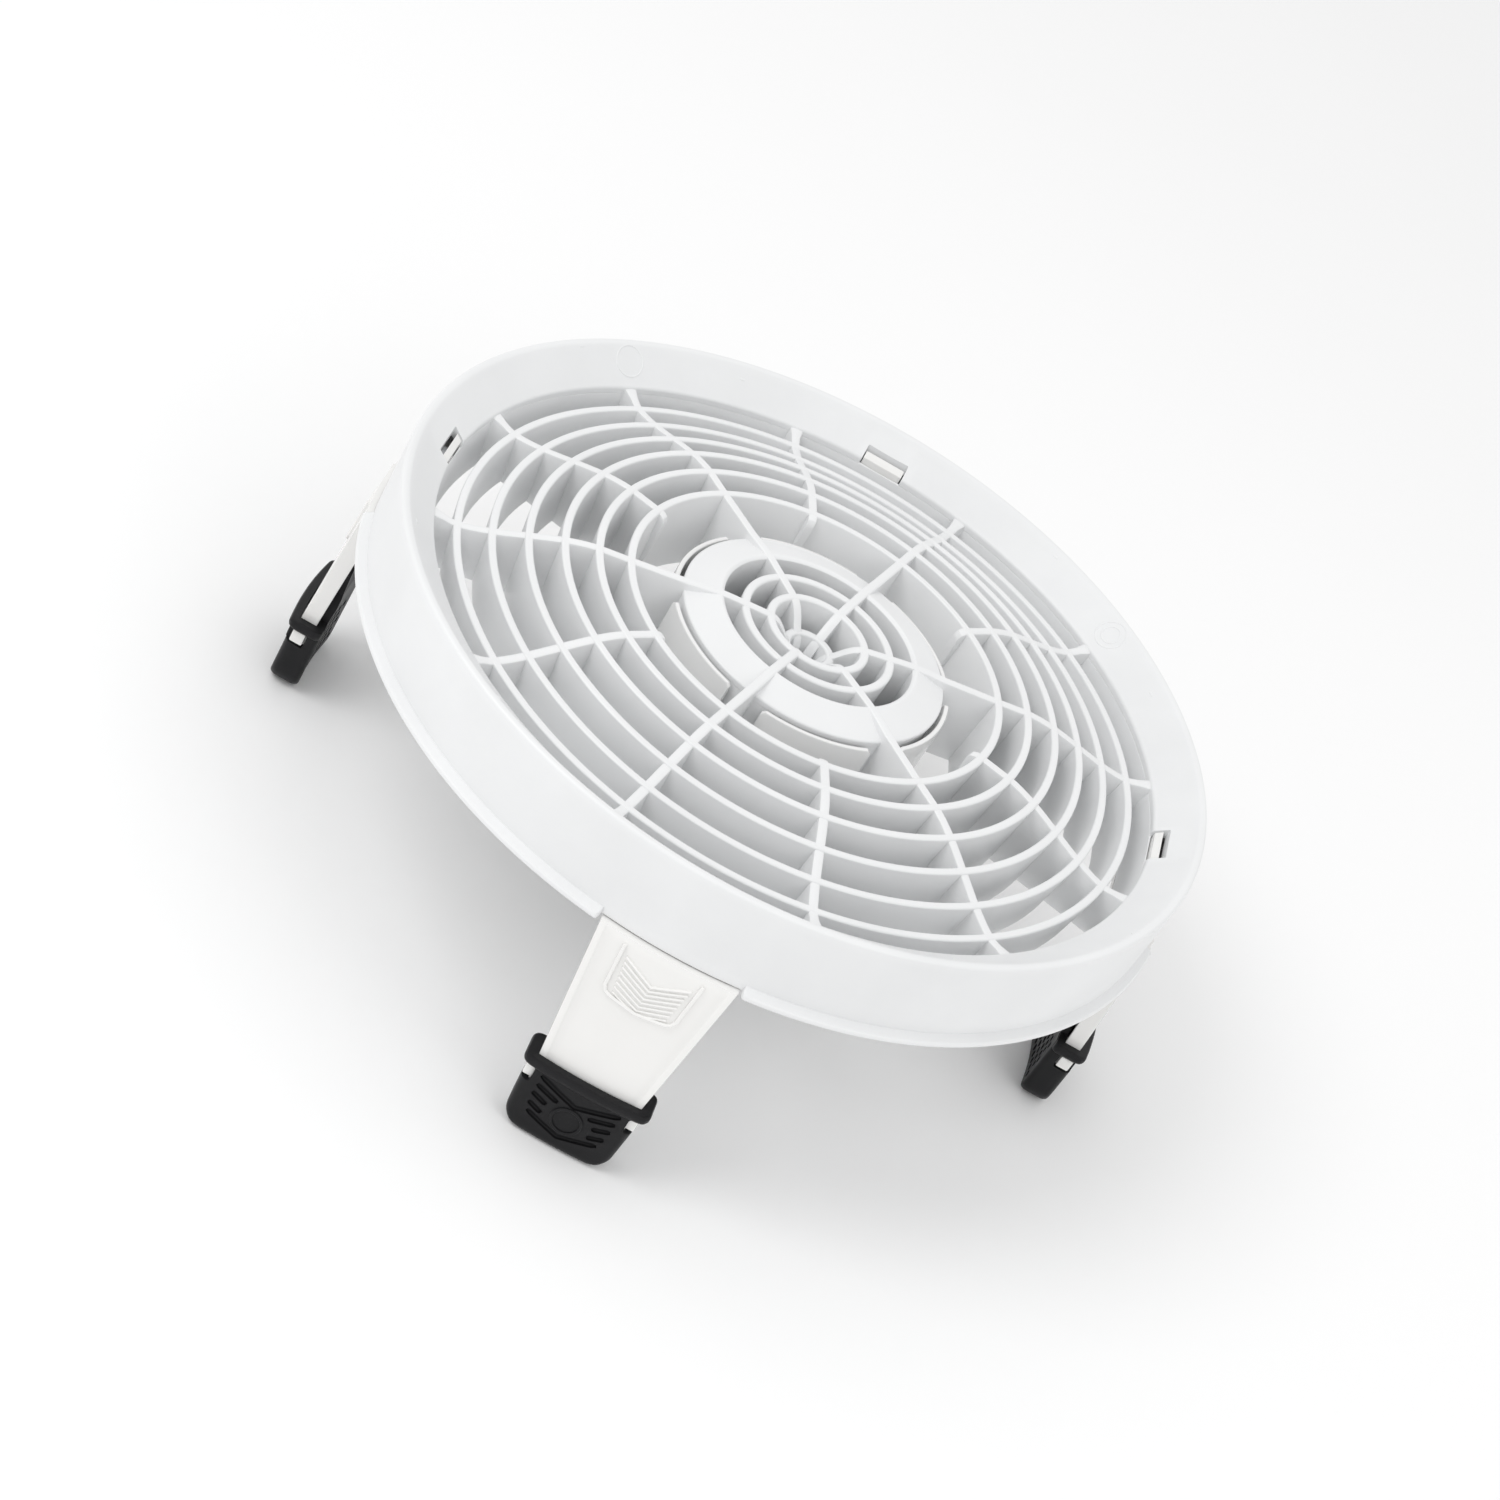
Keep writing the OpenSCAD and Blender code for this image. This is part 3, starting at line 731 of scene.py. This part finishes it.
def hinge_lug(side, inner, reach):
    """Block on the back of the flange that holds one end of a hinge pin."""
    low, high = sorted((side * (PIN_END - 3), side * PIN_END))
    end = math.sqrt(reach ** 2 - PIN_END ** 2) + 0.8
    lug = block("lug", (inner + 3.2, end), (low, high), (BACK + 2, FACE - 9.0), 0.4)
    seat = lathe("seat", [(0.01, -2), (1.5, -2), (1.5, 40), (0.01, 40)], 24)
    return carve(lug, [laid(seat, (PIN_R, side * 16, PIN_Z), -90 * side, "X")])


class DIFFUSER_OT_rim(Operator):
    """Builds the rim: dished flange, skirt, back lip, slots and hinge lugs"""
    bl_idname = "diffuser.rim"
    bl_label = "Rim"

    def execute(self, context):
        s = sizes("rim")
        legs = sizes("legs")
        radius, wall = s.radius / MM, s.wall / MM
        inner = radius - s.flange / MM
        dish = flange_height(inner, s)
        outline = rounded([
            (radius, BACK, 0.5), (radius, BACK + 1.6, 0), (radius, BACK + 5.2, 0),
            (radius, FACE - 3.2, 0), (radius, FACE, 1.9), (radius - 2.1, FACE, 3.0),
            (radius - 4.4, flange_height(radius - 4.4, s), 0),
            (inner + 1.8, flange_height(inner + 1.8, s), 0),
            (inner, dish, 1.5), (inner, dish - wall, 0.2),
            (radius - wall, FACE - 3.0 - wall, 1.6), (radius - wall, BACK, 0.5)])
        rim = lathe("front_rim", outline, 360)
        notch = legs.top / MM / 2 + NOTCH_PLAY
        gap = math.degrees(notch / radius)
        parts = []
        for i in range(4):
            tools = [block("slot", (inner - SLOT_REACH, inner + SLOT_REACH),
                           (-SLOT_HALF, SLOT_HALF), (dish - 8, FACE + 4), 0.4),
                     block("notch", (radius - 12, radius + 12), (-notch, notch),
                           (BACK - 1, BACK + 1))]
            carve(rim, [at_leg(tool, i) for tool in tools])
            start = leg_angle(i) + gap
            parts.append(lip_arc(start, start + 90 - 2 * gap, s))
            parts += [at_leg(hinge_lug(side, inner, radius - wall), i) for side in (-1, 1)]
        parts += [raised_ring(FLANGE_RING_AT, at, ring, s) for at, ring in FLANGE_RINGS]
        parts += [raised_mark(at, degrees, s) for degrees, at in FLANGE_MARKS]
        white_piece(joined("front_rim", [rim, *parts]), "rim")
        return {"FINISHED"}


# ---- grille

def crown(r, s):
    """Height of the ring tops at radius r."""
    end = s.outer / MM + CROWN_PAST
    share = min(1.0, max(0.0, (r - CROWN_START) / (end - CROWN_START)))
    return FACE - FACE_GAP - CROWN_FALL * share * share * (3 - 2 * share)


def spoke(name, stations, s):
    """Spoke along X with a rounded top, a little thicker at its back; (r, top, base, flare)."""
    half = s.spoke / MM / 2
    sections = []
    for r, top, base, flare in stations:
        w = half * flare
        sections.append([
            (r, -w * 1.1, base), (r, w * 1.1, base), (r, w, top - 0.85),
            (r, w * 0.92, top - 0.35), (r, w * 0.68, top - 0.08), (r, 0.0, top),
            (r, -w * 0.68, top - 0.08), (r, -w * 0.92, top - 0.35), (r, -w, top - 0.85)])
    return loft(name, sections)


def spoke_stations(start, s):
    """Stations from the start radius to the collar."""
    out = []
    for k in range(31):
        r = start + (SPOKE_END - start) * k / 30
        rise = max(0.0, (r - 110.0) / 7.0)
        top = crown(r, s) - 0.12 + rise * (FACE - 9.3 - crown(r, s))
        flare = 1.0 + 0.6 * max(0.0, (r - 113.5) / 4.0)
        base = GRILLE_BACK if r <= 115.0 else GRILLE_BACK + (r - 115.0) * 5.5
        out.append((r, top, base, flare))
    return out


class DIFFUSER_OT_louvres(Operator):
    """Builds the louvre rings by rule, as high as the crown at each radius"""
    bl_idname = "diffuser.louvres"
    bl_label = "Louvre rings"

    def execute(self, context):
        s = sizes("grille")
        half = s.blade / MM / 2
        section = rounded([
            (SECTION - half, 0, 0.3), (SECTION + half, 0, 0.3),
            (SECTION + half, SECTION, 0.62), (SECTION - half, SECTION, 0.62)], 4)
        ring = lathe("louvre_rings", section, 240)
        follow(ring, louvre_rule(), **{
            "Rings": s.rings, "Outer radius": s.outer, "Pitch": s.pitch, "Lean": s.lean,
            "Section radius": SECTION * MM, "Base": GRILLE_BACK * MM,
            "Crown height": (FACE - FACE_GAP) * MM, "Crown fall": CROWN_FALL * MM,
            "Crown start": CROWN_START * MM, "Crown end": s.outer + CROWN_PAST * MM,
            "Material": finish("Cool white plastic")})
        clean(ring)
        white_piece(ring, "louvre_grille")
        return {"FINISHED"}


class DIFFUSER_OT_spokes(Operator):
    """Builds the long and the short spokes and turns each round the axis"""
    bl_idname = "diffuser.spokes"
    bl_label = "Spokes"

    def execute(self, context):
        s = sizes("grille")
        step = 2 * math.pi / s.spokes
        dive = ((3.0, 15.0), (4.6, 10.5), (6.0, 8.0), (8.0, 6.5), (10.0, 4.2), (12.0, 2.4),
                (13.5, 1.6), (15.0, 1.15), (20.0, 0.8), (28.0, 0.3), (31.7, 0.12), (36.0, 0.3),
                (42.0, 0.8), (55.0, 1.0))    # (radius, depth below the face)
        inner = [(r, FACE - fall, GRILLE_BACK, 1.0) for r, fall in dive]
        turn = round_rule()
        long_one = spoke("long_spokes", inner + spoke_stations(60.0, s), s)
        tip = [(r, FACE - fall, GRILLE_BACK, flare) for r, fall, flare in (
            (55.9, 4.6, 0.72), (56.1, 3.2, 0.86), (56.7, 2.0, 0.95), (57.8, 1.35, 1.0))]
        short_one = spoke("short_spokes", tip + spoke_stations(59.0, s), s)
        for obj, first in ((long_one, math.radians(15)), (short_one, math.radians(45))):
            follow(obj, turn, **{"Count": s.spokes, "First angle": first, "Step angle": step,
                                 "Material": finish("Cool white plastic")})
            white_piece(obj, "louvre_grille")
        return {"FINISHED"}


def collar_shave(z):
    """How far out the collar's wall reaches in front of a leg, at height z."""
    return 116.1 + 0.078 * (min(z, FACE - 11.0) - GRILLE_BACK)


class DIFFUSER_OT_hub(Operator):
    """Builds the collar, the conical hub plate, the small hub rings and the screw core"""
    bl_idname = "diffuser.hub"
    bl_label = "Hub and collar"

    def execute(self, context):
        plate = lathe("hub_plate", rounded([
            (30.6, GRILLE_BACK, 0.3), (32.9, GRILLE_BACK, 0.3), (32.8, FACE - 3.0, 0.8),
            (42.2, FACE - 5.8, 0.3), (42.4, FACE - 3.6, 0.7), (31.7, FACE - 0.25, 1.2),
            (30.6, FACE - 1.0, 0.5)]), 192)
        skirt = lathe("skirt", rounded([
            (40.7, GRILLE_BACK, 0.3), (42.1, GRILLE_BACK, 0.3), (42.1, FACE - 4.6, 0.1),
            (40.7, FACE - 4.4, 0.1)]), 160)
        rings = [skirt]
        for radius, depth in HUB_RINGS:
            rings.append(lathe("ring", rounded([
                (radius - 1.9, GRILLE_BACK, 0.3), (radius + 0.3, GRILLE_BACK, 0.3),
                (radius + 1.35, FACE - depth, 0.8), (radius - 1.35, FACE - depth, 0.8)]), 120))
        core = lathe("core", rounded([
            (1.6, GRILLE_BACK + 0.4, 0.1), (4.4, GRILLE_BACK + 0.4, 0.3),
            (4.2, GRILLE_BACK + 12.2, 0.8), (1.6, GRILLE_BACK + 12.4, 0.2)]), 64)
        white_piece(joined("hub_plate", [plate, *rings, core]), "louvre_grille")
        collar = lathe("grille_collar", rounded([
            (114.6, GRILLE_BACK, 0.3), (116.8, GRILLE_BACK, 0.3), (119.0, FACE - 9.6, 0.1),
            (116.8, FACE - 11.4, 0.1)]), 240)
        plate_top = PIN_Z + 2.0
        shaves = ((18.4, GRILLE_BACK - 1, plate_top), (SLOT_HALF, plate_top - 1, FACE))
        for i in range(4):
            for half, low, high in shaves:
                tool = prism("shave", [(collar_shave(low), low), (124.0, low), (124.0, high),
                                       (collar_shave(high), high)], -half, half, upright=True)
                carve(collar, [at_leg(tool, i)])
        white_piece(collar, "louvre_grille")
        return {"FINISHED"}


class DIFFUSER_OT_cup(Operator):
    """Builds the neutral white cup behind the hub, with its six arcs, and its screw"""
    bl_idname = "diffuser.cup"
    bl_label = "Hub cup and screw"

    def execute(self, context):
        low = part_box("hub_cup")[0].z / MM
        floor = lathe("hub_cup", rounded([
            (1.9, low, 0.2), (CUP_R, low, 0.7), (CUP_R, low + 1.8, 0.1),
            (1.9, low + 1.8, 0.2)]), 160)
        arcs = []
        for k in range(CUP_ARCS):
            sections = []
            for j in range(33):
                t = -CUP_ARC_HALF + 2 * CUP_ARC_HALF * j / 32
                end = min(1.0, (CUP_ARC_HALF - abs(t)) / 1.2)
                top = FACE - 4.7 - 0.9 * (1 - math.sqrt(max(0.0, 1 - (1 - end) ** 2)))
                sections.append(turned([
                    (CUP_R - 1.6, low + 1.0), (CUP_R, low + 1.0), (CUP_R, top - 0.5),
                    (44.8, top - 0.15), (44.5, top), (43.9, top), (43.6, top - 0.15),
                    (CUP_R - 1.6, top - 0.5)], 45.0 + 60.0 * k + t))
            arcs.append(loft("arc", sections))
        finish_piece(joined("hub_cup_arcs", [floor, *arcs]), "diffuser", "Neutral white plastic",
                     "warm_plastic", "hub_cup")
        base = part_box("hub_screw")[0].z / MM
        screw = lathe("cup_screw", rounded([
            (1.3, base, 0.15), (3.2, base, 0.5), (3.4, base + 1.0, 0.3), (3.4, base + 1.8, 0.1),
            (1.55, base + 1.8, 0.1), (1.55, base + 10.6, 0.4), (0.4, base + 10.8, 0.1),
            (0.4, base + 1.2, 0.1), (1.3, base + 1.2, 0.1)], 3), 48)
        finish_piece(screw, "diffuser", "Plated steel", "steel", "hub_screw")
        return {"FINISHED"}


# ---- legs

def leg_face(z):
    """Radius of a leg's outer face at height z."""
    return LEG_OUT + (LEG_TOP - max(z, BOOT_TOP)) * LEG_SLOPE


def leg_half(z, s):
    """Half the width of a leg at height z."""
    share = (z - BOOT_TOP) / (LEG_TOP - BOOT_TOP)
    return (s.tip + (s.top - s.tip) * share) / MM / 2


def on_face(across, depth, z):
    """Point on a leg's round face, depth inwards."""
    r = leg_face(z) - depth
    return (math.sqrt(max(1.0, r * r - across * across)), across, z)


def blade_section(z, s):
    """Channel section of a leg: rails along both edges, the blade between them."""
    w, deep = leg_half(z, s), s.depth / MM
    inner = w - 1.8
    half = [(inner - 0.9, 0.32), (inner - 0.3, 0.2), (inner, 0.02), (w - 0.5, 0.0),
            (w - 0.12, 0.14), (w, 0.55), (w, deep - 0.5), (w - 0.2, deep - 0.1),
            (w - 0.6, deep), (inner + 0.4, deep), (inner, deep - 0.4), (inner, 3.4),
            (inner - 0.7, 2.75)]
    front = [(inner * 0.94 * (k / 7 - 1), 0.32) for k in range(1, 14)]
    back = [(inner * 0.9 * (1 - k / 7), 2.7) for k in range(1, 14)]
    left = [(-a, d) for a, d in reversed(half)]
    return [on_face(a, d, z) for a, d in front + half + back + left]


def pad_bars():
    """U-shaped border of the thumb pad, proud of the blade."""
    top, low = LEG_TOP - 2.2, LEG_TOP - 18.3
    path = [(-11.7, top), (-10.7, low + 2.0), (-9.9, low + 0.3), (-8.6, low - 0.35),
            (0.0, low - 1.6), (8.6, low - 0.35), (9.9, low + 0.3), (10.7, low + 2.0),
            (11.7, top)]
    bar = ((-0.55, 0.6), (0.55, 0.6), (0.5, -0.25), (0.25, -0.5), (-0.25, -0.5), (-0.5, -0.25))
    return loft("border", [[on_face(a + side.x * out, up, z + side.y * out) for out, up in bar]
                           for a, z, side in fine_path(path, 5)])


def chevron():
    """One chevron rib in its own (proud, across, height) place."""
    sections = []
    for k in range(25):
        a = RIB_HALF * (k / 12 - 1)
        z = -4.6 * (1 - abs(a) / RIB_HALF)
        sections.append([(-0.5, a, z - 0.42), (-0.5, a, z + 0.42), (0.12, a, z + 0.36),
                         (0.3, a, z + 0.12), (0.3, a, z - 0.12), (0.12, a, z - 0.36)])
    return loft("rib", sections)


def leg_root(s):
    """Web, plate, tab and hinge boss that carry a leg in the rim."""
    web = BACK - 0.45
    shape = [(115.6, ROOT_HALF), (115.6, -ROOT_HALF)]
    shape += [on_face(ROOT_HALF * (k / 6 - 1), 1.6, web)[:2] for k in range(13)]
    plate = [(118.0, web - 2.4), (120.0, web - 2.4), (119.5, PIN_Z + 1.0), (117.5, PIN_Z + 1.0)]
    tab = [(117.4, PIN_Z), (119.2, PIN_Z), (119.3, PIN_Z + 6.8), (119.3, FACE - 7.2),
           (117.3, FACE - 8.85)]
    boss = lathe("boss", rounded([(1.56, -20.0, 0.1), (3.0, -20.0, 0.4), (3.0, 20.0, 0.4),
                                  (1.56, 20.0, 0.1)], 2), 40)
    parts = [soften(prism("web", shape, web - 2.5, web), 0.3),
             soften(prism("plate", plate, -17.9, 17.9, upright=True), 0.25),
             soften(prism("tab", tab, -6.95, 6.95, upright=True), 0.2),
             laid(boss, (PIN_R, 0, PIN_Z), 90, "X")]
    for side in (-1, 1):
        ear = leg_half(20.3, s)
        ends = sorted((side * (ear - 1), side * (ear + 2.0)))
        parts.append(block("ear", (130.4, 134.6), ends, (17.9, 22.2), 0.5))
    return parts


class DIFFUSER_OT_legs(Operator):
    """Builds one warm white leg with its thumb pad and turns it to the four stations"""
    bl_idname = "diffuser.legs"
    bl_label = "Legs"

    def execute(self, context):
        s = sizes("legs")
        levels = [5.0 + (LEG_TOP - 5.6) * k / 24 for k in range(25)] + [LEG_TOP]
        blade = loft("blade", [blade_section(z, s) for z in levels])
        ribs = chevron()
        follow(ribs, ladder_rule(), **{
            "Count": s.ribs, "Pitch": s.rib_pitch, "Narrowing": 0.024, "Flattening": 0.05,
            "Face radius": leg_face(LEG_TOP - 5.4) * MM, "Face top": (LEG_TOP - 5.4) * MM,
            "Slope": LEG_SLOPE, "Material": finish("Warm white plastic")})
        leg = joined("leg", [blade, pad_bars(), ribs, *leg_root(s)])
        for i, name in enumerate(LEGS):
            finish_piece(leg_copy(leg, "leg_moulding_" + name, i), "leg_" + name,
                         "Warm white plastic", "warm_plastic", "leg_" + name)
        bpy.data.objects.remove(leg)
        return {"FINISHED"}


# ---- boots

def groove(path, width):
    """Cutter for a rounded groove along (across, below the collar) points of a boot's face."""
    r = leg_face(BOOT_TOP) + BOOT_SKIN
    sections = []
    fine = fine_path(path, 8)
    for k, (a, d, side) in enumerate(fine):
        side = side * width / 2
        w = 0.55 if k in (0, len(fine) - 1) else 1.0
        ring = []
        for out, deep in ((-1, -1.5), (1, -1.5), (0.95, 0.85), (0.6, 1.2), (-0.6, 1.2),
                          (-0.95, 0.85)):
            y = a + side.x * out * w
            z = BOOT_TOP - (d + side.y * out * w)
            ring.append((math.sqrt((r - deep) ** 2 - y * y), y, z))
        sections.append(ring)
    return loft("groove", sections)


def boot_ring(z, half, front, back):
    """Outline of a boot at height z between two depths, its corners rounded."""
    ring = rounded([(-half, front, 2.0), (half, front, 2.0), (half, back, 2.0),
                    (-half, back, 2.0)], 4)
    out = []
    for i in range(4):
        group = ring[5 * i:5 * i + 5]
        (a0, d0), (a1, d1) = group[-1], ring[(5 * i + 5) % 20]
        n = 4 if i % 2 else 16
        out += group + [(a0 + (a1 - a0) * k / n, d0 + (d1 - d0) * k / n) for k in range(1, n)]
    return [on_face(a, d, z) for a, d in out]


def rounding(z, radius):
    """How far a corner of this radius draws in at height z above the sole."""
    return radius - math.sqrt(radius ** 2 - max(0.0, radius - z) ** 2)


def boot_shell(s):
    """Body of a boot, its sole and its corners rounded."""
    levels = [0.0, 0.15, 0.5, 1.0, 1.7, SOLE_EDGE, 3.4, 4.6, SOLE_CORNER]
    levels += [SOLE_CORNER + (BOOT_TOP - SOLE_CORNER - 0.6) * k / 9 for k in range(1, 10)]
    return loft("boot", [boot_ring(
        z, leg_half(z, s) + 2.7 - 0.8 * z / BOOT_TOP - rounding(z, SOLE_CORNER),
        rounding(z, SOLE_EDGE) - BOOT_SKIN, BOOT_DEPTH - rounding(z, SOLE_EDGE))
        for z in levels])


def boot_pocket(s):
    """Space in a boot for the leg's tip."""
    sections = []
    for z in (4.9, BOOT_TOP, BOOT_TOP + 3):
        w = leg_half(z, s) + 0.1
        sections.append([on_face(w * (k / 8 - 1), -0.1, z) for k in range(17)]
                        + [on_face(w * (1 - k / 8), 5.3, z) for k in range(17)])
    return loft("pocket", sections)


def boot_collar(s):
    """Rounded band that stands out round a boot's top edge."""
    profile = ((-0.25, 3.8), (0.45, 3.4), (0.9, 2.8), (1.1, 2.0), (1.1, 0.9), (0.85, 0.3),
               (0.35, 0.0))
    return loft("collar", [boot_ring(BOOT_TOP - down, leg_half(BOOT_TOP, s) + 1.9 + 1.3 * out,
                                     -BOOT_SKIN - 1.25 * out, 7.7) for out, down in profile])


def boot_tongue():
    """Tapered tongue that stands up behind the leg."""
    base_in = leg_face(BOOT_TOP) - BOOT_DEPTH
    sections = []
    for up, half, r0, r1 in ((-4, 12.0, 0.0, 2.4), (1, 12.6, 0.0, 2.4), (5, 10.8, -0.5, 2.1),
                             (8.0, 9.0, -0.5, 1.9), (8.6, 8.0, -0.3, 1.8), (14.0, 6.6, 0.0, 1.5),
                             (18.5, 5.5, 0.2, 1.2), (19.6, 4.4, 0.3, 1.1), (20.0, 3.2, 0.4, 0.9)):
        z = BOOT_TOP + up
        ring = [(base_in + r0, half * (k / 5 - 1), z) for k in range(11)]
        ring += [(base_in + r1, half * (1 - k / 5), z) for k in range(11)]
        sections.append([(math.sqrt(max(1.0, x * x - y * y)), y, h) for x, y, h in ring])
    return loft("tongue", sections)


class DIFFUSER_OT_boots(Operator):
    """Builds one rubber boot with its grooves, windows and tongue and turns it to the stations"""
    bl_idname = "diffuser.boots"
    bl_label = "Boots"

    def execute(self, context):
        s = sizes("legs")
        boot = boot_shell(s)
        windows = [block("window", (129.9, 142.0), sorted((side * 14.4, side * 24.0)),
                         (17.2, 22.7), 0.8) for side in (-1, 1)]
        cuts = [groove([(-12.2, 4.9), (0, 8.9), (12.2, 4.9)], 2.1),
                groove([(-10.8, 18.0), (0, 21.3), (10.8, 18.0)], 1.9)]
        for side in (-1, 1):
            for path in (((4.6, 10.4), (12.0, 8.2)), ((7.0, 13.1), (12.0, 11.4)),
                         ((7.0, 16.6), (11.6, 14.9))):
                cuts.append(groove([(side * a, d) for a, d in path], 1.9))
        boot = carve(boot, [boot_pocket(s), *windows, *cuts])
        collar = carve(boot_collar(s), [boot_pocket(s)])
        r = leg_face(BOOT_TOP) + BOOT_SKIN
        ring = lathe("ring", [(3.85, -0.7), (4.75, -0.7), (4.75, 0.4), (4.5, 0.6), (4.1, 0.6),
                              (3.85, 0.4)], 48)
        laid(ring, (r - 0.12, 0, BOOT_TOP - 14.8), 90, "Y")
        holes = []
        for row in range(5):
            for k in range(-3, 4):
                hole = lathe("hole", [(0.01, -1), (1.2, -1), (1.2, 1.2), (0.01, 1.2)], 14)
                across = k * 3.4 + (row % 2) * 1.7 - 0.85
                holes.append(laid(hole, (r - 9.5, across, 5.5 + row * 3.4), 90, "Y"))
        boot = carve(boot, [joined("holes", holes)])
        whole = joined("boot", [boot, collar, ring, boot_tongue()])
        for i, name in enumerate(LEGS):
            finish_piece(leg_copy(whole, "boot_moulding_" + name, i), "leg_" + name,
                         "Black rubber", "rubber", "boot_" + name)
        bpy.data.objects.remove(whole)
        return {"FINISHED"}


class DIFFUSER_OT_steel(Operator):
    """Gives the hinge pins and the leaf springs their steel finishes"""
    bl_idname = "diffuser.steel"
    bl_label = "Pins and springs"

    def execute(self, context):
        for name in LEGS:
            for node, paint in (("pin_", "Plated steel"), ("spring_", "Spring steel")):
                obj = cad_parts[node + name]
                for k in range(len(obj.material_slots)):
                    obj.material_slots[k].material = finish(paint)
        return {"FINISHED"}


# ---- stage

def floor_finish():
    material = bpy.data.materials.new("Pale floor")
    material.use_nodes = True
    tree = material.node_tree
    shader = tree.nodes["Principled BSDF"]
    where = tree.nodes.new("ShaderNodeTexCoord").outputs["Object"]
    cloud = noise(tree, where, 3.0, 3.0)
    tree.links.new(blend(tree, cloud, (0.93, 0.93, 0.93), (0.95, 0.95, 0.95)),
                   shader.inputs["Base Color"])
    shader.inputs["Roughness"].default_value = 0.85
    return material


def soft_light(name, place, aim, width, power):
    data = bpy.data.lights.new(name, "AREA")
    data.shape = "DISK"
    data.size = width
    data.energy = power
    obj = linked(name, data)
    obj.location = place
    obj.rotation_euler = (Vector(aim) - Vector(place)).to_track_quat("-Z", "Y").to_euler()


class DIFFUSER_OT_stage(Operator):
    """Builds the floor, the soft lights and the camera"""
    bl_idname = "diffuser.stage"
    bl_label = "Stage"

    def execute(self, context):
        span = 40.0
        floor = mesh_object("floor", [(-span / MM, -span / MM, 0), (span / MM, -span / MM, 0),
                                      (span / MM, span / MM, 0), (-span / MM, span / MM, 0)],
                            [(0, 1, 2, 3)])
        floor.data.materials.append(floor_finish())
        scene = context.scene
        scene.view_settings.view_transform = "Standard"
        world = bpy.data.worlds.new("Studio")
        world.use_nodes = True
        world.node_tree.nodes["Background"].inputs["Color"].default_value = (1.0, 1.0, 1.0, 1.0)
        world.node_tree.nodes["Background"].inputs["Strength"].default_value = 0.88
        scene.world = world
        soft_light("Key", (-0.9, -0.5, 1.3), (0, 0, 0.09), 0.8, 6.5)
        soft_light("Fill", (0.9, -0.9, 0.9), (0, 0, 0.08), 1.0, 2.0)
        data = bpy.data.cameras.new("Camera")
        data.sensor_width = 36.0
        data.lens = 72.661
        camera = linked("Camera", data)
        right = Vector((0.86984955, 0.22260013, 0.44023965))
        up = Vector((-0.48686856, 0.53119349, 0.69339201))
        ahead = Vector((0.07950329, 0.81748557, -0.57043542))
        turn = Matrix((right, up, -ahead)).transposed().to_4x4()
        camera.matrix_world = Matrix.Translation((-0.07063962, -0.74117867, 0.57008726)) @ turn
        scene.camera = camera
        return {"FINISHED"}


# ---- panel and run

PIECES = (DIFFUSER_OT_rim, DIFFUSER_OT_louvres, DIFFUSER_OT_spokes, DIFFUSER_OT_hub,
          DIFFUSER_OT_cup, DIFFUSER_OT_legs, DIFFUSER_OT_boots, DIFFUSER_OT_steel,
          DIFFUSER_OT_stage)
GROUPS = {"rim": DiffuserRimSizes, "grille": DiffuserGrilleSizes, "legs": DiffuserLegSizes,
          "colours": DiffuserColours}


class DIFFUSER_PT_pieces(Panel):
    """Lists the pieces of the diffuser and its sizes"""
    bl_label = "Diffuser"
    bl_idname = "DIFFUSER_PT_pieces"
    bl_space_type = "VIEW_3D"
    bl_region_type = "UI"
    bl_category = "Diffuser"

    def draw(self, context):
        for piece in PIECES:
            self.layout.operator(piece.bl_idname)
        for key, group in GROUPS.items():
            box = self.layout.box()
            for name in group.__annotations__:
                box.prop(sizes(key), name)


CLASSES = (*GROUPS.values(), *PIECES, DIFFUSER_PT_pieces)


def register():
    for kind in CLASSES:
        bpy.utils.register_class(kind)
    for key, group in GROUPS.items():
        setattr(bpy.types.Scene, "diffuser_" + key, PointerProperty(type=group))


def unregister():
    for key in GROUPS:
        delattr(bpy.types.Scene, "diffuser_" + key)
    for kind in reversed(CLASSES):
        bpy.utils.unregister_class(kind)


def main():
    register()
    make_finishes()
    for piece in PIECES:
        group, name = piece.bl_idname.split(".")
        getattr(getattr(bpy.ops, group), name)()


if __name__ == "__main__":
    main()
